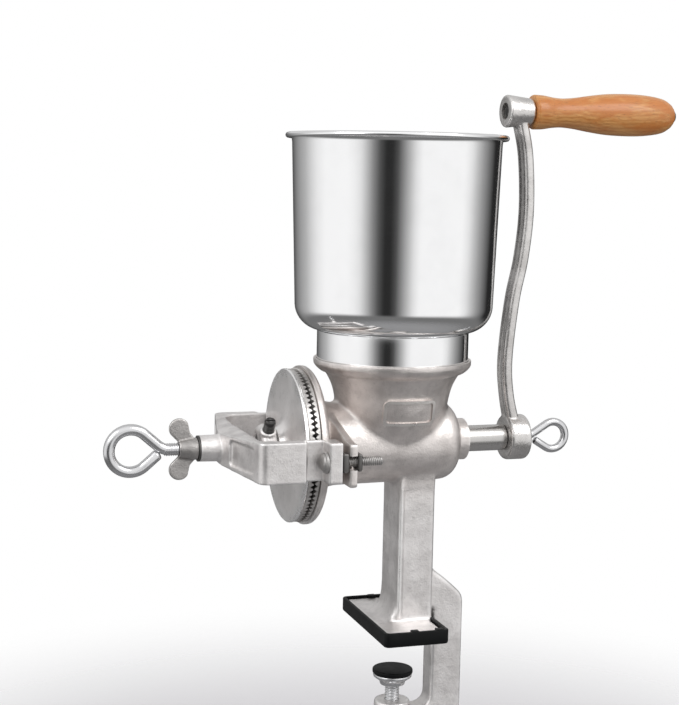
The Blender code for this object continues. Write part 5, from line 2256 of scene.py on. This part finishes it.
    def _camera(self) -> None:
        """The camera at its place, with a small roll."""
        az, el, ro = [math.radians(a) for a in (self.azimuth, self.elevation, self.roll)]
        right = Vector((math.cos(az), math.sin(az), 0.0))
        back = Vector((math.sin(az) * math.cos(el), -math.cos(az) * math.cos(el), math.sin(el)))
        up = back.cross(right)
        across = right * math.cos(ro) + up * math.sin(ro)
        upright = up * math.cos(ro) - right * math.sin(ro)
        data = bpy.data.cameras.new("camera")
        data.sensor_width = self.sensor
        data.lens = self.sensor * self.focal_share
        data.clip_start = 0.02
        camera = new_object("camera", data)
        turn = Matrix((across, upright, back)).transposed().to_4x4()
        place = Vector(self.camera_place) + Vector((0.0, 0.0, self.shaft_height))
        camera.matrix_world = Matrix.Translation(place) @ turn
        bpy.context.scene.camera = camera


def all_looks(grip_axis: Colour) -> dict[str, Look]:
    """Every finish of the mill, by name.

    Args:
        grip_axis: a place on the grip's axis in the row frame.

    Returns:
        The looks.
    """
    tin, tin_shade = (0.86, 0.835, 0.825), (0.66, 0.635, 0.625)
    finishes = {
        "casting": (Slot.CASTING, CastFinish("tinned_casting", tin, tin_shade)),
        # painted shade: the body casting is painted warmer and darker towards its top
        "body_casting": (Slot.CASTING, CastFinish("body_casting", tin, tin_shade, painted_shade_tint=(0.95, 0.92, 0.90),
                                                  painted_shade_from=0.080, painted_shade_to=0.118)),
        "smooth_casting": (Slot.CASTING, CastFinish("rubbed_casting", (0.92, 0.895, 0.885),
                                                    (0.84, 0.815, 0.80), 0.36, grain=0.00010)),
        "arm_casting": (Slot.CASTING, CastFinish("arm_casting", (0.74, 0.72, 0.705), (0.53, 0.51, 0.495),
                                                 0.27, grain=0.00014)),
        "hopper": (Slot.HOPPER, PolishedFinish("hopper_steel", (0.93, 0.93, 0.935), 0.10, (6.0, 6.0, 900.0),
                                               0.000002, 0.02, 0.97)),
        "plated": (Slot.PLATED, PolishedFinish("plated_rod", (0.70, 0.70, 0.71), 0.20, (700.0, 700.0, 700.0),
                                               0.00001)),
        "machined": (Slot.BURR, PolishedFinish("machined_steel", (0.60, 0.585, 0.57), 0.26,
                                               (1500.0, 40.0, 40.0), 0.00002)),
        "burr": (Slot.BURR, CastFinish("burr_iron", (0.58, 0.56, 0.545), (0.40, 0.385, 0.37), 0.42,
                                       grain=0.00015)),
        "blackened": (Slot.DARK, BlackenedFinish("blackened_steel")),
        "wood": (Slot.WOOD, WoodFinish("varnished_wood", grip_axis)),
        "rubber": (Slot.RUBBER, RubberFinish("black_rubber")),
        "worn_steel": (Slot.DARK, BlackenedFinish("worn_steel", (0.40, 0.39, 0.38), (0.80, 0.78, 0.77))),
        "rough_casting": (Slot.CASTING, CastFinish("rough_casting", (0.56, 0.54, 0.525), (0.36, 0.345, 0.335),
                                                   0.40, grain=0.0003)),
    }
    return {name: Look(slot, finish.material()) for name, (slot, finish) in finishes.items()}


def box_lists() -> list[list[float]]:
    """The shown object's box as plain lists."""
    return [[float(c) for c in corner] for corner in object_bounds()]


def main() -> None:
    """Load the frame, dress every sub-assembly and set up the studio."""
    logging.basicConfig(level=logging.INFO, format="%(message)s", stream=sys.stdout)
    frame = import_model()
    cad_box = box_lists()
    turning = next(joint for joint in frame["joints"] if joint["name"] == "crank_turn")
    shaft_height = turning["pos_m"][2]
    crank = Crank()
    grip_axis = (crank.grip_x[0], 0.0, shaft_height + crank.radius)
    bench = Bench(shaft_height, all_looks(grip_axis))
    threads, teeth = ThreadRecipe(), ToothRecipe()

    Casting().build(bench)
    Boot().build(bench)
    Hopper().build(bench)
    BurrSet().build(bench, teeth, threads)
    Auger().build(bench)
    Yoke().build(bench, threads)
    Adjuster().build(bench, threads)
    crank.build(bench)
    clamp = Clamp()
    clamp.build(bench, threads)
    LOG.info("%d pieces, %d triangles", bench.pieces, bench.triangles)

    Studio(shaft_height, floor_z=cad_box[0][2] - clamp.lowering - 0.0005).build()


if __name__ == "__main__":
    main()
